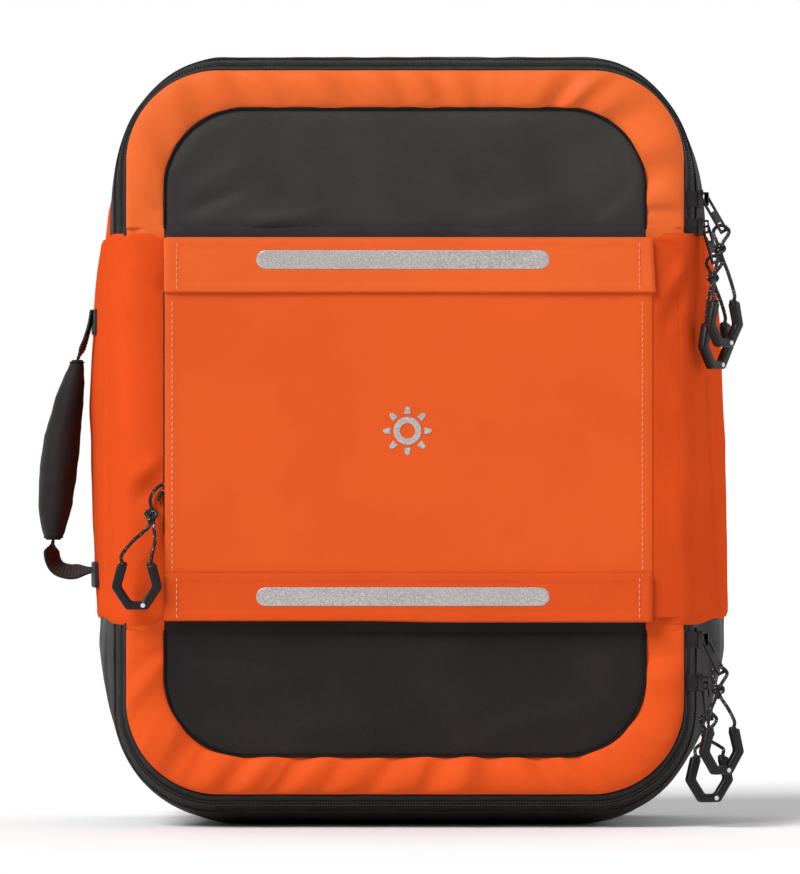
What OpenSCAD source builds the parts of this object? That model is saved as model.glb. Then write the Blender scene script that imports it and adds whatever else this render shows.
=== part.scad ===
// Clamshell travel backpack with a stowed solar panel behind its front cover.
// The front faces -Y, +X is to the right seen from the front, and +Z is up.

/* [Bag body] */
// Height of the packed bag standing on its base
bag_h = 500; // [480:5:520]
// Half of the front face's width
front_half_w = 181; // [170:1:190]
// Depth from the front face to the back panel
body_depth = 175; // [165:1:190]
// Thickness of the foam-backed side fabric
wall_t = 4; // [3:0.5:5]
// Corner radius of the front face
corner_r = 60; // [50:1:70]

/* [Wrap band and front cover] */
// Height of the band's lower edge
band_z0 = 135; // [130:1:145]
// Height of the band's upper edge
band_z1 = 383; // [375:1:390]
// Thickness of the band's fabric
band_t = 3; // [2:0.5:3.5]
// Half of the front cover's width
cover_half_w = 159; // [158:0.5:160]
// Height of each of the cover's strips
strip_h = 35; // [25:1:40]

/* [Flaps] */
// Gap between the band's edge and each flap's hinge line
hinge_gap = 6; // [6:0.5:8]
// Width of the orange border round each dark inset
border_w = 25; // [20:1:30]

/* [Straps and handle] */
// Width of the carry handle's webbing
handle_web_w = 25; // [20:1:30]
// Width of a padded shoulder strap
strap_w = 62; // [50:1:64]

/* [Zip pulls] */
// Diameter of the pull cord
cord_d = 2.4; // [2:0.1:2.6]
// Bar width of the moulded finger grip
grip_bar = 6.6; // [5:0.1:7]

/* [Hidden] */

ORANGE = [0.90, 0.35, 0.15];
DARK = [0.16, 0.14, 0.14];
BLACK = [0.08, 0.07, 0.07];
SILVER = [0.74, 0.72, 0.71];

reach = 400;              // half size of a cutting block, past every part of the bag
gap = 0.3;                // clearance between neighbouring pieces
front_y = -95;            // front face of the body
back_y = front_y + body_depth;
zip_back_y = front_y + 23; // where the zip's tape ends and the side fabric begins
zip_y = front_y + 11;     // centre line of both long zips
corner_steps = 9;         // straight facets in each rounded corner

// Loft stations from front to back: [y, half width, bottom, top, corner radius]
stations = [
    [front_y, front_half_w, 22, bag_h - 8, corner_r],
    [zip_back_y, front_half_w + 8, 11, bag_h - 2, corner_r + 4],
    [front_y + 50, front_half_w + 17, 0, bag_h, corner_r + 8],
    [front_y + 115, front_half_w + 24, 0, bag_h, corner_r + 14],
    [back_y, front_half_w + 17, 0, bag_h - 4, corner_r + 14]
];
last = len(stations) - 1;
upper_hinge_z = band_z1 + hinge_gap;
lower_hinge_z = band_z0 - hinge_gap;
split_z = (band_z0 + band_z1) / 2; // the upper and lower side fabrics meet under the band

// ---- outlines and lofts -------------------------------------------------

function arc(cx, cz, r, from) =
    [for (k = [0:corner_steps]) let (a = from + 90 * k / corner_steps)
        [cx + r * cos(a), cz + r * sin(a)]];
function outline(hw, z0, z1, r) = concat(
    arc(hw - r, z1 - r, r, 0), arc(r - hw, z1 - r, r, 90),
    arc(r - hw, z0 + r, r, 180), arc(hw - r, z0 + r, r, 270));
function station_outline(s, grow) =
    outline(s[1] + grow, s[2] - grow, s[3] + grow, s[4] + grow);

// A closed skin through rings that all have the same number of points
module skin(rings) {
    m = len(rings[0]);
    n = len(rings);
    points = [for (ring = rings) each ring];
    front = [for (j = [m - 1:-1:0]) j];
    back = [for (j = [0:m - 1]) (n - 1) * m + j];
    sides = [for (i = [0:n - 2]) for (j = [0:m - 1]) let (
            a = i * m + j, b = i * m + (j + 1) % m, c = b + m, d = a + m)
        each [[a, b, c], [a, c, d]]];
    polyhedron(points, concat([front, back], sides));
}

// The bag's outer form grown by a distance. An open one runs on past both ends.
module loft(grow, open = false) {
    run_on = 10;
    ends_y = [
        for (i = [0:last]) stations[i][0]
            + (open ? 0 : (i == 0 ? -grow : (i == last ? grow : 0)))];
    rings = [for (i = [0:last])
        [for (p = station_outline(stations[i], grow)) [p[0], ends_y[i], p[1]]]];
    ahead = [for (p = rings[0]) [p[0], p[1] - run_on, p[2]]];
    behind = [for (p = rings[last]) [p[0], p[1] + run_on, p[2]]];
    skin(open ? concat([ahead], rings, [behind]) : rings);
}

module block(x0, x1, y0, y1, z0, z1)
    translate([x0, y0, z0]) cube([x1 - x0, y1 - y0, z1 - z0]);

// A band of the side surface between two depths and two heights
module side_ring(outer, inner, y0, y1, z0, z1)
    intersection() {
        difference() {
            loft(outer, true);
            loft(inner, true);
        }
        block(-reach, reach, y0, y1, z0, z1);
    }

// A plate in the XZ plane, from depth y0 back to y1
module plate(points, y0, y1)
    translate([0, y1, 0]) rotate([90, 0, 0]) linear_extrude(y1 - y0) polygon(points);

module rounded_plate(x0, x1, z0, z1, r, y0, y1)
    translate([(x0 + x1) / 2, 0, 0])
        plate(outline((x1 - x0) / 2, z0, z1, r), y0, y1);

// A strip of even thickness along a path of [a, b] points, as an outline
function unit(v) = v / norm(v);
function path_normal(path, i) = let (
        n = len(path) - 1,
        t = unit(path[min(i + 1, n)] - path[max(i - 1, 0)]))
    [-t[1], t[0]];
function ribbon(path, t) = concat(
    [for (i = [0:len(path) - 1]) path[i] + path_normal(path, i) * t / 2],
    [for (i = [len(path) - 1:-1:0]) path[i] - path_normal(path, i) * t / 2]);

// ---- cords --------------------------------------------------------------

cord_sides = 8;
spans = 3; // rings on each stretch between two chosen points

// Catmull-Rom curve through chosen points
function curve_point(a, b, c, d, t) =
    0.5 * (2 * b + (c - a) * t + (2 * a - 5 * b + 4 * c - d) * t * t
        + (3 * b - a - 3 * c + d) * t * t * t);
function smooth(p) = let (n = len(p) - 1) concat(
    [for (i = [0:n - 1]) for (k = [0:spans - 1])
        curve_point(p[max(i - 1, 0)], p[i], p[i + 1], p[min(i + 2, n)], k / spans)],
    [p[n]]);

module tube(path, r) {
    n = len(path) - 1;
    across = [0, 1, 0];
    rings = [for (i = [0:n]) let (
            t = unit(path[min(i + 1, n)] - path[max(i - 1, 0)]),
            u = unit(cross(t, across)),
            v = cross(t, u))
        [for (k = [0:cord_sides - 1]) let (a = 360 * k / cord_sides)
            path[i] + r * (cos(a) * u + sin(a) * v)]];
    skin(rings);
}

// ---- body shell ---------------------------------------------------------

back_panel_t = 18;
module back_panel()
    color(DARK)
        plate(station_outline(stations[last], 0), back_y + gap, back_y + back_panel_t);
pads_y = back_y + back_panel_t;

// Two tall pads either side of the spine
pad_x = 71;
pad_half_w = 59;
module back_pads() {
    pad_t = 10;
    color(BLACK)
        for (side = [-1, 1])
            rounded_plate(side * pad_x - pad_half_w, side * pad_x + pad_half_w, 150, 430, 24,
                pads_y + gap, pads_y + pad_t);
}

module lumbar_pad() {
    pad_t = 12;
    half_w = 120;
    color(BLACK)
        rounded_plate(-half_w, half_w, 42, 135, 26, pads_y + gap, pads_y + pad_t);
}

module gusset_upper()
    color(ORANGE)
        side_ring(0, -wall_t, zip_back_y, back_y, split_z + gap / 2, bag_h + 1);

module gusset_lower()
    color(DARK)
        side_ring(0, -wall_t, zip_back_y, back_y, -1, split_z - gap / 2);

wall_z0 = lower_hinge_z + 0.5;
wall_z1 = upper_hinge_z - 0.5;
front_wall_t = 3;
module front_wall()
    color(DARK) {
        block(-front_half_w, front_half_w, front_y, front_y + front_wall_t, wall_z0, wall_z1);
        side_ring(-gap, -front_wall_t, front_y + front_wall_t, zip_back_y, wall_z0, wall_z1);
    }

band_face_y = front_y - gap - band_t;
wing_x = 140; // inner end of the band's front wings, under the cover
module band(side)
    color(ORANGE)
        intersection() {
            difference() {
                loft(gap + band_t);
                loft(gap);
            }
            block(side > 0 ? wing_x : -reach, side > 0 ? reach : -wing_x,
                -reach, back_y - 2, band_z0, band_z1);
        }
module band_left() band(-1);
module band_right() band(1);

// ---- long zips ----------------------------------------------------------

tape_t = 1.2;
coil_h = 1.6; // how far the coil stands proud of the tape
coil_w = 3;   // width of one half of the coil

// One half of a zip: tape and coil. The outer half meets the side fabric.
module zip_half(outer, z0, z1) {
    seam = zip_y + (outer ? gap / 2 : -gap / 2);
    tape_y0 = outer ? seam : front_y + flap_back;
    tape_y1 = outer ? zip_back_y - 0.05 : seam;
    color(BLACK) {
        side_ring(0, -tape_t, tape_y0, tape_y1, z0, z1);
        side_ring(coil_h, 0, outer ? seam : seam - coil_w, outer ? seam + coil_w : seam,
            z0, z1);
    }
}
module upper_zip_outer() zip_half(true, upper_hinge_z + 0.5, bag_h + 5);
module lower_zip_outer() zip_half(true, -5, lower_hinge_z - 0.5);

// ---- flaps --------------------------------------------------------------

flap_front = 2; // how far a flap stands proud of the body's front
flap_back = 3;  // how far it reaches into the body
inset_step = 1.2; // the dark inset lies this far back from its border

inset_r = corner_r - 8; // corner radius of the dark inset
module flap_border(z0, z1) {
    s = stations[0];
    color(ORANGE)
        translate([0, front_y + flap_back, 0]) rotate([90, 0, 0])
            linear_extrude(flap_front + flap_back)
                intersection() {
                    difference() {
                        polygon(station_outline(s, 0));
                        polygon(outline(front_half_w - border_w, s[2] + border_w,
                            s[3] - border_w, inset_r));
                    }
                    translate([-reach, z0]) square([2 * reach, z1 - z0]);
                }
}
module flap_inset(z0, z1) {
    s = stations[0];
    color(DARK)
        intersection() {
            rounded_plate(-front_half_w + border_w + gap / 2, front_half_w - border_w - gap / 2,
                s[2] + border_w + gap / 2, s[3] - border_w - gap / 2, inset_r - gap / 2,
                front_y - flap_front + inset_step, front_y + flap_back);
            block(-reach, reach, -reach, reach, z0, z1);
        }
}
flap_edge = 0.5; // the flap starts this far past its hinge line
module upper_flap_border() flap_border(upper_hinge_z + flap_edge, reach * 2);
module upper_flap_inset() flap_inset(upper_hinge_z + flap_edge, reach * 2);
module lower_flap_border() flap_border(-reach, lower_hinge_z - flap_edge);
module lower_flap_inset() flap_inset(-reach, lower_hinge_z - flap_edge);
module upper_zip_inner() zip_half(false, upper_hinge_z + flap_edge, bag_h + 5);
module lower_zip_inner() zip_half(false, -5, lower_hinge_z - flap_edge);

// ---- solar panel and what it feeds --------------------------------------

panel_x0 = -139;
panel_z0 = 142;
panel_z1 = 376;
panel_t = 3.2;
panel_face_y = front_y - gap - panel_t;
// The panel lies between the band's front wings
module solar_panel()
    color([0.10, 0.11, 0.13])
        rounded_plate(panel_x0, wing_x - gap, panel_z0, panel_z1, 8, panel_face_y, front_y - gap);

cell_cols = 4;
cell_rows = 3;
cell_t = 0.5;
cell_margin = 6;
cell_gap = 3;
module solar_cells() {
    across = (wing_x - gap - panel_x0 - 2 * cell_margin + cell_gap) / cell_cols;
    down = (panel_z1 - panel_z0 - 2 * cell_margin + cell_gap) / cell_rows;
    color([0.05, 0.07, 0.16])
        for (i = [0:cell_cols - 1]) for (j = [0:cell_rows - 1])
            rounded_plate(
                panel_x0 + cell_margin + i * across,
                panel_x0 + cell_margin + (i + 1) * across - cell_gap,
                panel_z0 + cell_margin + j * down,
                panel_z0 + cell_margin + (j + 1) * down - cell_gap,
                4, panel_face_y - 0.05 - cell_t, panel_face_y - 0.05);
}

inner_y = front_y + front_wall_t; // inner face of the fixed front wall
box_x = 96;
box_z = 150;
box_size = [44, 14, 34];
socket = [12, 5, 10];
socket_pitch = 16;
module junction_box()
    color(DARK)
        difference() {
            translate([box_x, inner_y + 0.2, box_z]) cube(box_size);
            for (i = [0, 1])
                translate([box_x + 8 + socket_pitch * i, inner_y + 5, box_z - 1])
                    cube(socket + [0, 0, 1]);
        }

bank_w = 70;
bank_t = 17;
bank_h = 140;
bank_x = -35;
bank_z = 206;
pocket_t = 1.5;
pocket_h = 110;
module power_bank()
    color([0.20, 0.21, 0.22])
        translate([bank_x, inner_y + 1, bank_z]) cube([bank_w, bank_t, bank_h]);
module battery_pocket()
    color(BLACK)
        difference() {
            translate([bank_x - gap - pocket_t, inner_y + 0.2, bank_z - gap - pocket_t])
                cube([bank_w + 2 * (gap + pocket_t), bank_t + 1 + gap + pocket_t, pocket_h]);
            translate([bank_x - gap, inner_y - 1, bank_z - gap])
                cube([bank_w + 2 * gap, bank_t + 2 + gap, pocket_h + 10]);
        }

lead_d = 4;
lead_points = [
    [118, -83, 184.4], [118, -83, 205], [117, -82, 250], [110, -82, 310], [88, -82, 356],
    [50, -82, 374], [20, -82, 370], [4, -82, 358], [0, -82, 346.4]
];
module solar_lead() color(BLACK) tube(smooth(lead_points), lead_d / 2);

sleeve_y = back_y - 18;
sleeve_t = 5;
sleeve_h = 330;
module laptop_sleeve()
    color(DARK)
        intersection() {
            loft(-wall_t - gap);
            block(-reach, reach, sleeve_y, sleeve_y + sleeve_t, 0, sleeve_h);
        }

// ---- front cover --------------------------------------------------------

cover_in_y = band_face_y - 4.7;
cover_t = 3;
strip_t = 2;
cover_face_y = cover_in_y - cover_t;
strip_face_y = cover_face_y - gap - strip_t;
module cover_panel()
    color(ORANGE)
        rounded_plate(-cover_half_w, cover_half_w - 0.5, band_z0 + 1, band_z1 - 1, 2,
            cover_face_y, cover_in_y);
module cover_top_strip()
    color(ORANGE)
        rounded_plate(-cover_half_w, cover_half_w - 0.5, band_z1 - strip_h, band_z1 + 0.5, 2,
            strip_face_y, cover_face_y - gap);
module cover_bottom_strip()
    color(ORANGE)
        rounded_plate(-cover_half_w, cover_half_w - 0.5, band_z0, band_z0 + strip_h - 4, 2,
            strip_face_y, cover_face_y - gap);

reflector_half_l = 95;
reflector_h = 12;
reflector_t = 0.4;
module reflectors() {
    for (z = [band_z1 - 14, band_z0 + 15])
        color(SILVER)
            rounded_plate(-reflector_half_l - 4, reflector_half_l - 4,
                z - reflector_h / 2, z + reflector_h / 2, reflector_h / 2 - 0.01,
                strip_face_y - 0.05 - reflector_t, strip_face_y - 0.05);
}

emblem_z = (band_z0 + band_z1) / 2 + 2;
emblem_r = 9;
module emblem() {
    rays = 8;
    color(SILVER)
        translate([-2, cover_face_y - 0.05, emblem_z]) rotate([90, 0, 0])
            linear_extrude(reflector_t) {
                difference() {
                    circle(emblem_r, $fn = 48);
                    circle(emblem_r - 3, $fn = 48);
                }
                for (k = [0:rays - 1])
                    rotate(360 * k / rays) translate([emblem_r + 2, -1.4]) square([4.5, 2.8]);
            }
}

pocket_zip_z0 = 190;
pocket_zip_z1 = 372;
pocket_seam_x = -153;
pocket_tape_y = band_face_y - 2;
module pocket_zip_outer()
    color(BLACK)
        block(pocket_seam_x - 6.5, pocket_seam_x - gap / 2, pocket_tape_y, band_face_y - 0.1,
            pocket_zip_z0, pocket_zip_z1);
module pocket_zip_inner()
    color(BLACK) {
        block(pocket_seam_x + gap / 2, pocket_seam_x + 7, pocket_tape_y, band_face_y - 0.2,
            pocket_zip_z0, pocket_zip_z1);
        block(pocket_seam_x + 7, pocket_seam_x + 10, cover_in_y + 0.01, band_face_y - 0.2,
            pocket_zip_z0, pocket_zip_z1);
    }

// ---- sliders and pulls on the two long zips ------------------------------

slider_x = front_half_w + 7; // underside of a slider, just clear of the coil
slider_l = 12;
slider_w = 10;
slider_t = 3.6;
pivot_out = 1.5;  // tab's pivot above the slider's top plate
tab_l = 20.5;     // from the tab's pivot to the middle of its cord window
tab_w = 7.2;
tab_t = 1.4;

upper_a_z = 409;
upper_b_z = 391;
lower_a_z = 122;
lower_b_z = 94;

// A slider's top plate with the arch that holds the tab
arch_h = 3.8;
arch_w = 2.4;
arch_l = 9;
arch_bar = 1;     // thickness over the eye
eye_l = 6;
module slider(z)
    color(BLACK)
        translate([slider_x, zip_y, z]) {
            translate([0, -slider_w / 2, -slider_l / 2]) cube([slider_t, slider_w, slider_l]);
            translate([slider_t, 0, 0])
                difference() {
                    translate([0, -arch_w / 2, -arch_l / 2]) cube([arch_h, arch_w, arch_l]);
                    translate([-0.01, -arch_w, -eye_l / 2])
                        cube([arch_h - arch_bar, 2 * arch_w, eye_l]);
                }
        }

// A metal pull tab that hangs from its slider, leaning outwards
module tab(z, lean) {
    window = 3.8;       // width of both windows
    pivot_edge = 0.8;   // metal past the pivot
    pivot_window = 8.7;
    cord_window = 5;
    foot = 4.6;         // metal past the middle of the cord window
    color([0.12, 0.12, 0.12])
        translate([slider_x + slider_t + pivot_out, zip_y, z]) rotate([0, -lean, 0])
            translate([-tab_t / 2, 0, 0]) rotate([90, 0, 90]) linear_extrude(tab_t)
                difference() {
                    translate([-tab_w / 2, -tab_l - foot])
                        square([tab_w, tab_l + foot + pivot_edge]);
                    translate([-window / 2, -pivot_window - pivot_edge])
                        square([window, pivot_window]);
                    translate([-window / 2, -tab_l - cord_window / 2 + 0.1])
                        square([window, cord_window]);
                }
}
function tab_end(z, lean) = [
    slider_x + slider_t + pivot_out + tab_l * sin(lean), zip_y, z - tab_l * cos(lean)];

// The grip's half profile from the middle of its foot to the top of a leg, in its own plane
grip_leg_x = 9.4;
grip_mid_x = 13.2;
grip_foot_x = 5.4;
grip_foot_z = -12;
grip_top_z = 14.5;
grip_t = 6.2;
grip_line = [
    [-grip_leg_x, grip_top_z], [-grip_mid_x, 0], [-grip_foot_x, grip_foot_z],
    [grip_foot_x, grip_foot_z], [grip_mid_x, 0], [grip_leg_x, grip_top_z]
];
module grip(centre, yaw)
    color(BLACK)
        translate(centre) rotate([0, 0, yaw])
            translate([0, grip_t / 2, 0]) rotate([90, 0, 0]) linear_extrude(grip_t)
                polygon(ribbon(grip_line, grip_bar));

// A cord that leaves one leg of its grip, goes through a window at the end of the tab and comes
// back to the other leg. The two strands lie together where they are knotted.
loop_r = 5;
function turned(v, yaw) = [v[0] * cos(yaw) - v[1] * sin(yaw), v[0] * sin(yaw) + v[1] * cos(yaw),
    v[2]];
function leg_top(grip_at, yaw, side) =
    grip_at + turned([side * grip_leg_x, 0, grip_top_z + 1], yaw);
function cord_points(hole, knot, grip_at, yaw) = let (
        strand = cord_d / 2 + 0.15,
        lift = [0, 0, 0.6],
        left_top = leg_top(grip_at, yaw, -1),
        right_top = leg_top(grip_at, yaw, 1)) [
    left_top,
    left_top + turned([-0.6, 0, 4], yaw),
    (left_top + knot) / 2 + turned([-2, 0, 0], yaw),
    knot + turned([-strand, 0, -3], yaw),
    knot + [-strand, 0, 3],
    hole + lift + [-loop_r, 0, -loop_r],
    hole + lift + [-loop_r * 0.7, 0, -loop_r * 0.3],
    hole + lift,
    hole + lift + [loop_r * 0.7, 0, -loop_r * 0.3],
    hole + lift + [loop_r, 0, -loop_r],
    knot + [strand, 0, 3],
    knot + turned([strand, 0, -3], yaw),
    (right_top + knot) / 2 + turned([2, 0, 0], yaw),
    right_top + turned([0.6, 0, 4], yaw),
    right_top
];
module pull_cord(hole, knot, grip_at, yaw)
    color(BLACK) tube(smooth(cord_points(hole, knot, grip_at, yaw)), cord_d / 2);

upper_a_lean = 30;
upper_b_lean = 16;
lower_a_lean = 26;
lower_b_lean = 6;
upper_a_hole = tab_end(upper_a_z, upper_a_lean);
upper_b_hole = tab_end(upper_b_z, upper_b_lean);
lower_a_hole = tab_end(lower_a_z, lower_a_lean);
lower_b_hole = tab_end(lower_b_z, lower_b_lean);
upper_a_knot = [202, -95, 376];
upper_b_knot = [198, -85, 357];
lower_a_knot = [201, -94, 89];
lower_b_knot = [194.5, -85, 60];
upper_a_grip = [204, -112, 327];
upper_b_grip = [200, -82, 313];
lower_a_grip = [202.5, -108, 50];
lower_b_grip = [195.5, -86, 31];
// Each grip is turned about the vertical, left side forwards
upper_a_yaw = 45;
upper_b_yaw = 50;
lower_a_yaw = 30;
lower_b_yaw = 20;

module upper_slider_a() slider(upper_a_z);
module upper_slider_b() slider(upper_b_z);
module lower_slider_a() slider(lower_a_z);
module lower_slider_b() slider(lower_b_z);
module upper_tab_a() tab(upper_a_z, upper_a_lean);
module upper_tab_b() tab(upper_b_z, upper_b_lean);
module lower_tab_a() tab(lower_a_z, lower_a_lean);
module lower_tab_b() tab(lower_b_z, lower_b_lean);
module upper_cord_a() pull_cord(upper_a_hole, upper_a_knot, upper_a_grip, upper_a_yaw);
module upper_cord_b() pull_cord(upper_b_hole, upper_b_knot, upper_b_grip, upper_b_yaw);
module lower_cord_a() pull_cord(lower_a_hole, lower_a_knot, lower_a_grip, lower_a_yaw);
module lower_cord_b() pull_cord(lower_b_hole, lower_b_knot, lower_b_grip, lower_b_yaw);
module upper_grip_a() grip(upper_a_grip, upper_a_yaw);
module upper_grip_b() grip(upper_b_grip, upper_b_yaw);
module lower_grip_a() grip(lower_a_grip, lower_a_yaw);
module lower_grip_b() grip(lower_b_grip, lower_b_yaw);

// ---- pocket zip's slider and pull ----------------------------------------

pocket_slider_z = 221;
pocket_slider_y = pocket_tape_y - 0.2;
module pocket_slider()
    color(BLACK)
        difference() {
            block(pocket_seam_x - 5, pocket_seam_x + 4, cover_in_y + 0.2, pocket_slider_y,
                pocket_slider_z - 7, pocket_slider_z + 7);
            block(pocket_seam_x - 6, pocket_seam_x - 1.5, cover_in_y, pocket_slider_y + 1,
                pocket_slider_z - 4.5, pocket_slider_z + 4.5);
        }

// The loop comes out from under the cover's edge and ends in the knot
pocket_cord_y = cover_in_y + 1.4;
pocket_grip_at = [-176.2, -114, 157];
pocket_knot = [-167, -109, 203];
loop_points = [
    [-166.5, -105, 207], [-168, -103, 213], [-165, pocket_cord_y, 219.5],
    [-160, pocket_cord_y, 223], [-156.8, pocket_cord_y, 221], [-160, pocket_cord_y, 218.5],
    [-163, pocket_cord_y, 212.5]
];
module pocket_cord_loop() color(BLACK) tube(smooth(loop_points), cord_d / 2 - 0.05);

function leg_points(side) = let (top = leg_top(pocket_grip_at, 0, side)) [
    top, top + [side * 0.4, 0, 5], (top + pocket_knot) / 2 + [side * 2.4, 0.5, -1],
    pocket_knot + [side * 1.6, -0.5, -7], pocket_knot + [side * 1.4, 0, 0]
];
module pocket_cord_legs()
    color(BLACK) for (side = [-1, 1]) tube(smooth(leg_points(side)), cord_d / 2);
module pocket_grip() grip(pocket_grip_at, 0);

// ---- side handle ----------------------------------------------------------

handle_path = [
    [-212.8, 327], [-213.4, 320], [-216, 312], [-220.5, 300], [-225, 275], [-228.5, 245],
    [-232, 213], [-235, 187], [-236, 176], [-232.5, 168], [-225, 165], [-218, 165.3], [-212.8, 166]
];
handle_web_t = 1.8;
handle_y = -8; // middle of the webbing in the bag's depth
module handle_ribbon(t, w)
    translate([0, handle_y + w / 2, 0]) rotate([90, 0, 0])
        linear_extrude(w) polygon(ribbon(handle_path, t));
// The webbing narrows to its anchors
handle_end_w = 7;
handle_end_l = 10;
module handle_webbing() {
    x = handle_path[0][0];
    narrow = handle_end_w / 2;
    wide = handle_web_w / 2 + 1;
    color(BLACK)
        intersection() {
            handle_ribbon(handle_web_t, handle_web_w);
            translate([0, handle_y, 0]) linear_extrude(bag_h)
                polygon([
                    [x + 5, -narrow], [x, -narrow], [x - handle_end_l, -wide], [-reach, -wide],
                    [-reach, wide], [x - handle_end_l, wide], [x, narrow], [x + 5, narrow]
                ]);
        }
}

module handle_grip() {
    grip_half_t = 10;
    grip_half_w = 16;
    rings = [for (k = [0:8]) let (
            s = k / 8,
            z = 186 + 119 * s,
            x = -235 + 15.5 * s - 1.6 * sin(180 * s),
            fill = 0.45 + 0.55 * pow(sin(180 * (0.04 + 0.92 * s)), 0.6))
        [for (j = [0:15]) let (a = 22.5 * j)
            [x + grip_half_t * fill * cos(a), handle_y + grip_half_w * fill * sin(a), z]]];
    color(DARK)
        difference() {
            skin(rings);
            handle_ribbon(handle_web_t + 0.2, handle_web_w + 0.2);
        }
}

// Stitched patches that hold the handle, the shoulder straps, their webbing and the haul loop
strap_web_foot = [150, 98, 46];
strap_top_x = 62;
strap_pivot_z = 462;
haul_z = 452;
patch_t = 2.4;
patch_turn = 6; // the bag's side leans this far from straight back
handle_patch_x = -209.6;
handle_patch_w = 28;
handle_patch_h = 16;
foot_turn = -31; // the strap webbing rises at this angle
foot_patch = [34, 2, 26];
yoke = [68, 6, 16];
haul_patch = [56, 4, 9];
module anchor_patches()
    color(BLACK) {
        for (z = [322, 155])
            translate([handle_patch_x, handle_y, z]) rotate([0, 0, patch_turn])
                translate([0, -handle_patch_w / 2, 0])
                    cube([patch_t, handle_patch_w, handle_patch_h]);
        for (side = [-1, 1]) {
            translate([side * strap_web_foot[0], pads_y + 1.2, strap_web_foot[2]])
                rotate([0, side * foot_turn, 0]) cube(foot_patch, center = true);
            translate([side * strap_top_x - yoke[0] / 2, pads_y + gap, strap_pivot_z + 4.5])
                cube(yoke);
        }
        translate([-haul_patch[0] / 2, pads_y + gap, haul_z - 11]) cube(haul_patch);
    }

// ---- straps ----------------------------------------------------------------

strap_line = [
    [105, 462], [108, 452], [115, 436], [127, 402], [139, 360], [146, 315], [149, 270],
    [147, 225], [141, 180], [132, 140]
];
strap_t = 12;
strap_lean = 6;
module shoulder_strap(side)
    color(DARK)
        translate([side * strap_top_x, 0, strap_pivot_z]) rotate([0, -side * strap_lean, 0])
            translate([-strap_w / 2, 0, -strap_pivot_z]) rotate([90, 0, 90])
                linear_extrude(strap_w) polygon(ribbon(strap_line, strap_t));
module strap_left() shoulder_strap(-1);
module strap_right() shoulder_strap(1);

// A ladder lock: a frame with two bars, at the foot of a strap
lock_at = [98, 129.5, 124];
lock_lean = 18;
lock_size = [34, 4.5, 24];
lock_slot = [26.5, 6, 7];
module ladder_lock(side)
    color(BLACK)
        translate([side * lock_at[0], lock_at[1], lock_at[2]])
            rotate([lock_lean, -side * strap_lean, 0])
                difference() {
                    cube(lock_size, center = true);
                    for (z = [-6, 4]) translate([0, 0, z]) cube(lock_slot, center = true);
                }
module ladder_lock_left() ladder_lock(-1);
module ladder_lock_right() ladder_lock(1);

// Webbing from the bag's lower corner up to the ladder lock
strap_web_head = [104, 124, 108];
strap_web_end = [25, 1.8, 1];
module strap_web(side)
    color(BLACK)
        hull() {
            translate([side * strap_web_head[0], strap_web_head[1], strap_web_head[2]])
                rotate([0, side * foot_turn, 0]) cube(strap_web_end, center = true);
            translate([side * strap_web_foot[0], pads_y + 3.4, strap_web_foot[2]])
                rotate([0, side * foot_turn, 0]) cube(strap_web_end, center = true);
        }
module strap_web_left() strap_web(-1);
module strap_web_right() strap_web(1);

haul_outer_r = 27;
haul_inner_r = 13;
haul_t = 3;
module haul_loop()
    color(BLACK)
        translate([0, pads_y + 4, haul_z]) rotate([90, 0, 0]) linear_extrude(haul_t)
            difference() {
                circle(haul_outer_r, $fn = 48);
                circle(haul_inner_r, $fn = 48);
                translate([-reach, -2 * reach]) square(2 * reach);
            }

// ---- what is drawn ----------------------------------------------------------

back_panel();
back_pads();
lumbar_pad();
gusset_upper();
gusset_lower();
front_wall();
band_left();
band_right();
upper_zip_outer();
lower_zip_outer();
pocket_zip_outer();
solar_panel();
solar_cells();
junction_box();
solar_lead();
battery_pocket();
power_bank();
laptop_sleeve();
anchor_patches();
strap_web_left();
strap_web_right();
upper_flap_border();
upper_flap_inset();
upper_zip_inner();
lower_flap_border();
lower_flap_inset();
lower_zip_inner();
cover_panel();
cover_top_strip();
cover_bottom_strip();
reflectors();
emblem();
pocket_zip_inner();
upper_slider_a();
upper_tab_a();
upper_cord_a();
upper_grip_a();
upper_slider_b();
upper_tab_b();
upper_cord_b();
upper_grip_b();
lower_slider_a();
lower_tab_a();
lower_cord_a();
lower_grip_a();
lower_slider_b();
lower_tab_b();
lower_cord_b();
lower_grip_b();
pocket_slider();
pocket_cord_loop();
pocket_cord_legs();
pocket_grip();
handle_webbing();
handle_grip();
strap_left();
strap_right();
ladder_lock_left();
ladder_lock_right();
haul_loop();
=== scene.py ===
import math
import bmesh
import bpy
import numpy as np
from mathutils import Matrix, Vector


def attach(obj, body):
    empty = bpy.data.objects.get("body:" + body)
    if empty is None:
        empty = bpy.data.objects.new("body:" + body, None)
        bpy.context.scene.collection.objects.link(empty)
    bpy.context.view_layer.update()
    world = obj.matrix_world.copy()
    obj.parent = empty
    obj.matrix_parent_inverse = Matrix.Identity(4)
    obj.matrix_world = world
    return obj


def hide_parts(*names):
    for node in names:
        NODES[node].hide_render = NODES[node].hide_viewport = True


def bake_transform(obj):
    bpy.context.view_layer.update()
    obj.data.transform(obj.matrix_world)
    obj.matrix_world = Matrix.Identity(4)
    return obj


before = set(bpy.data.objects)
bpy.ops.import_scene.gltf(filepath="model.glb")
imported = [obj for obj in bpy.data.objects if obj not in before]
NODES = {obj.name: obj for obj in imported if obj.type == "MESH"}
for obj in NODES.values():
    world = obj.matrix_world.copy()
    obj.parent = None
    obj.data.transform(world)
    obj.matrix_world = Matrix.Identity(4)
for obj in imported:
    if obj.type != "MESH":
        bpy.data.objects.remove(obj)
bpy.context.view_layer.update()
MM = 0.001  # the shapes below are worked out in millimetres


def add_object(name, data):
    made = bpy.data.objects.new(name, data)
    bpy.context.scene.collection.objects.link(made)
    return made


# ---- camera ----

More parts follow.
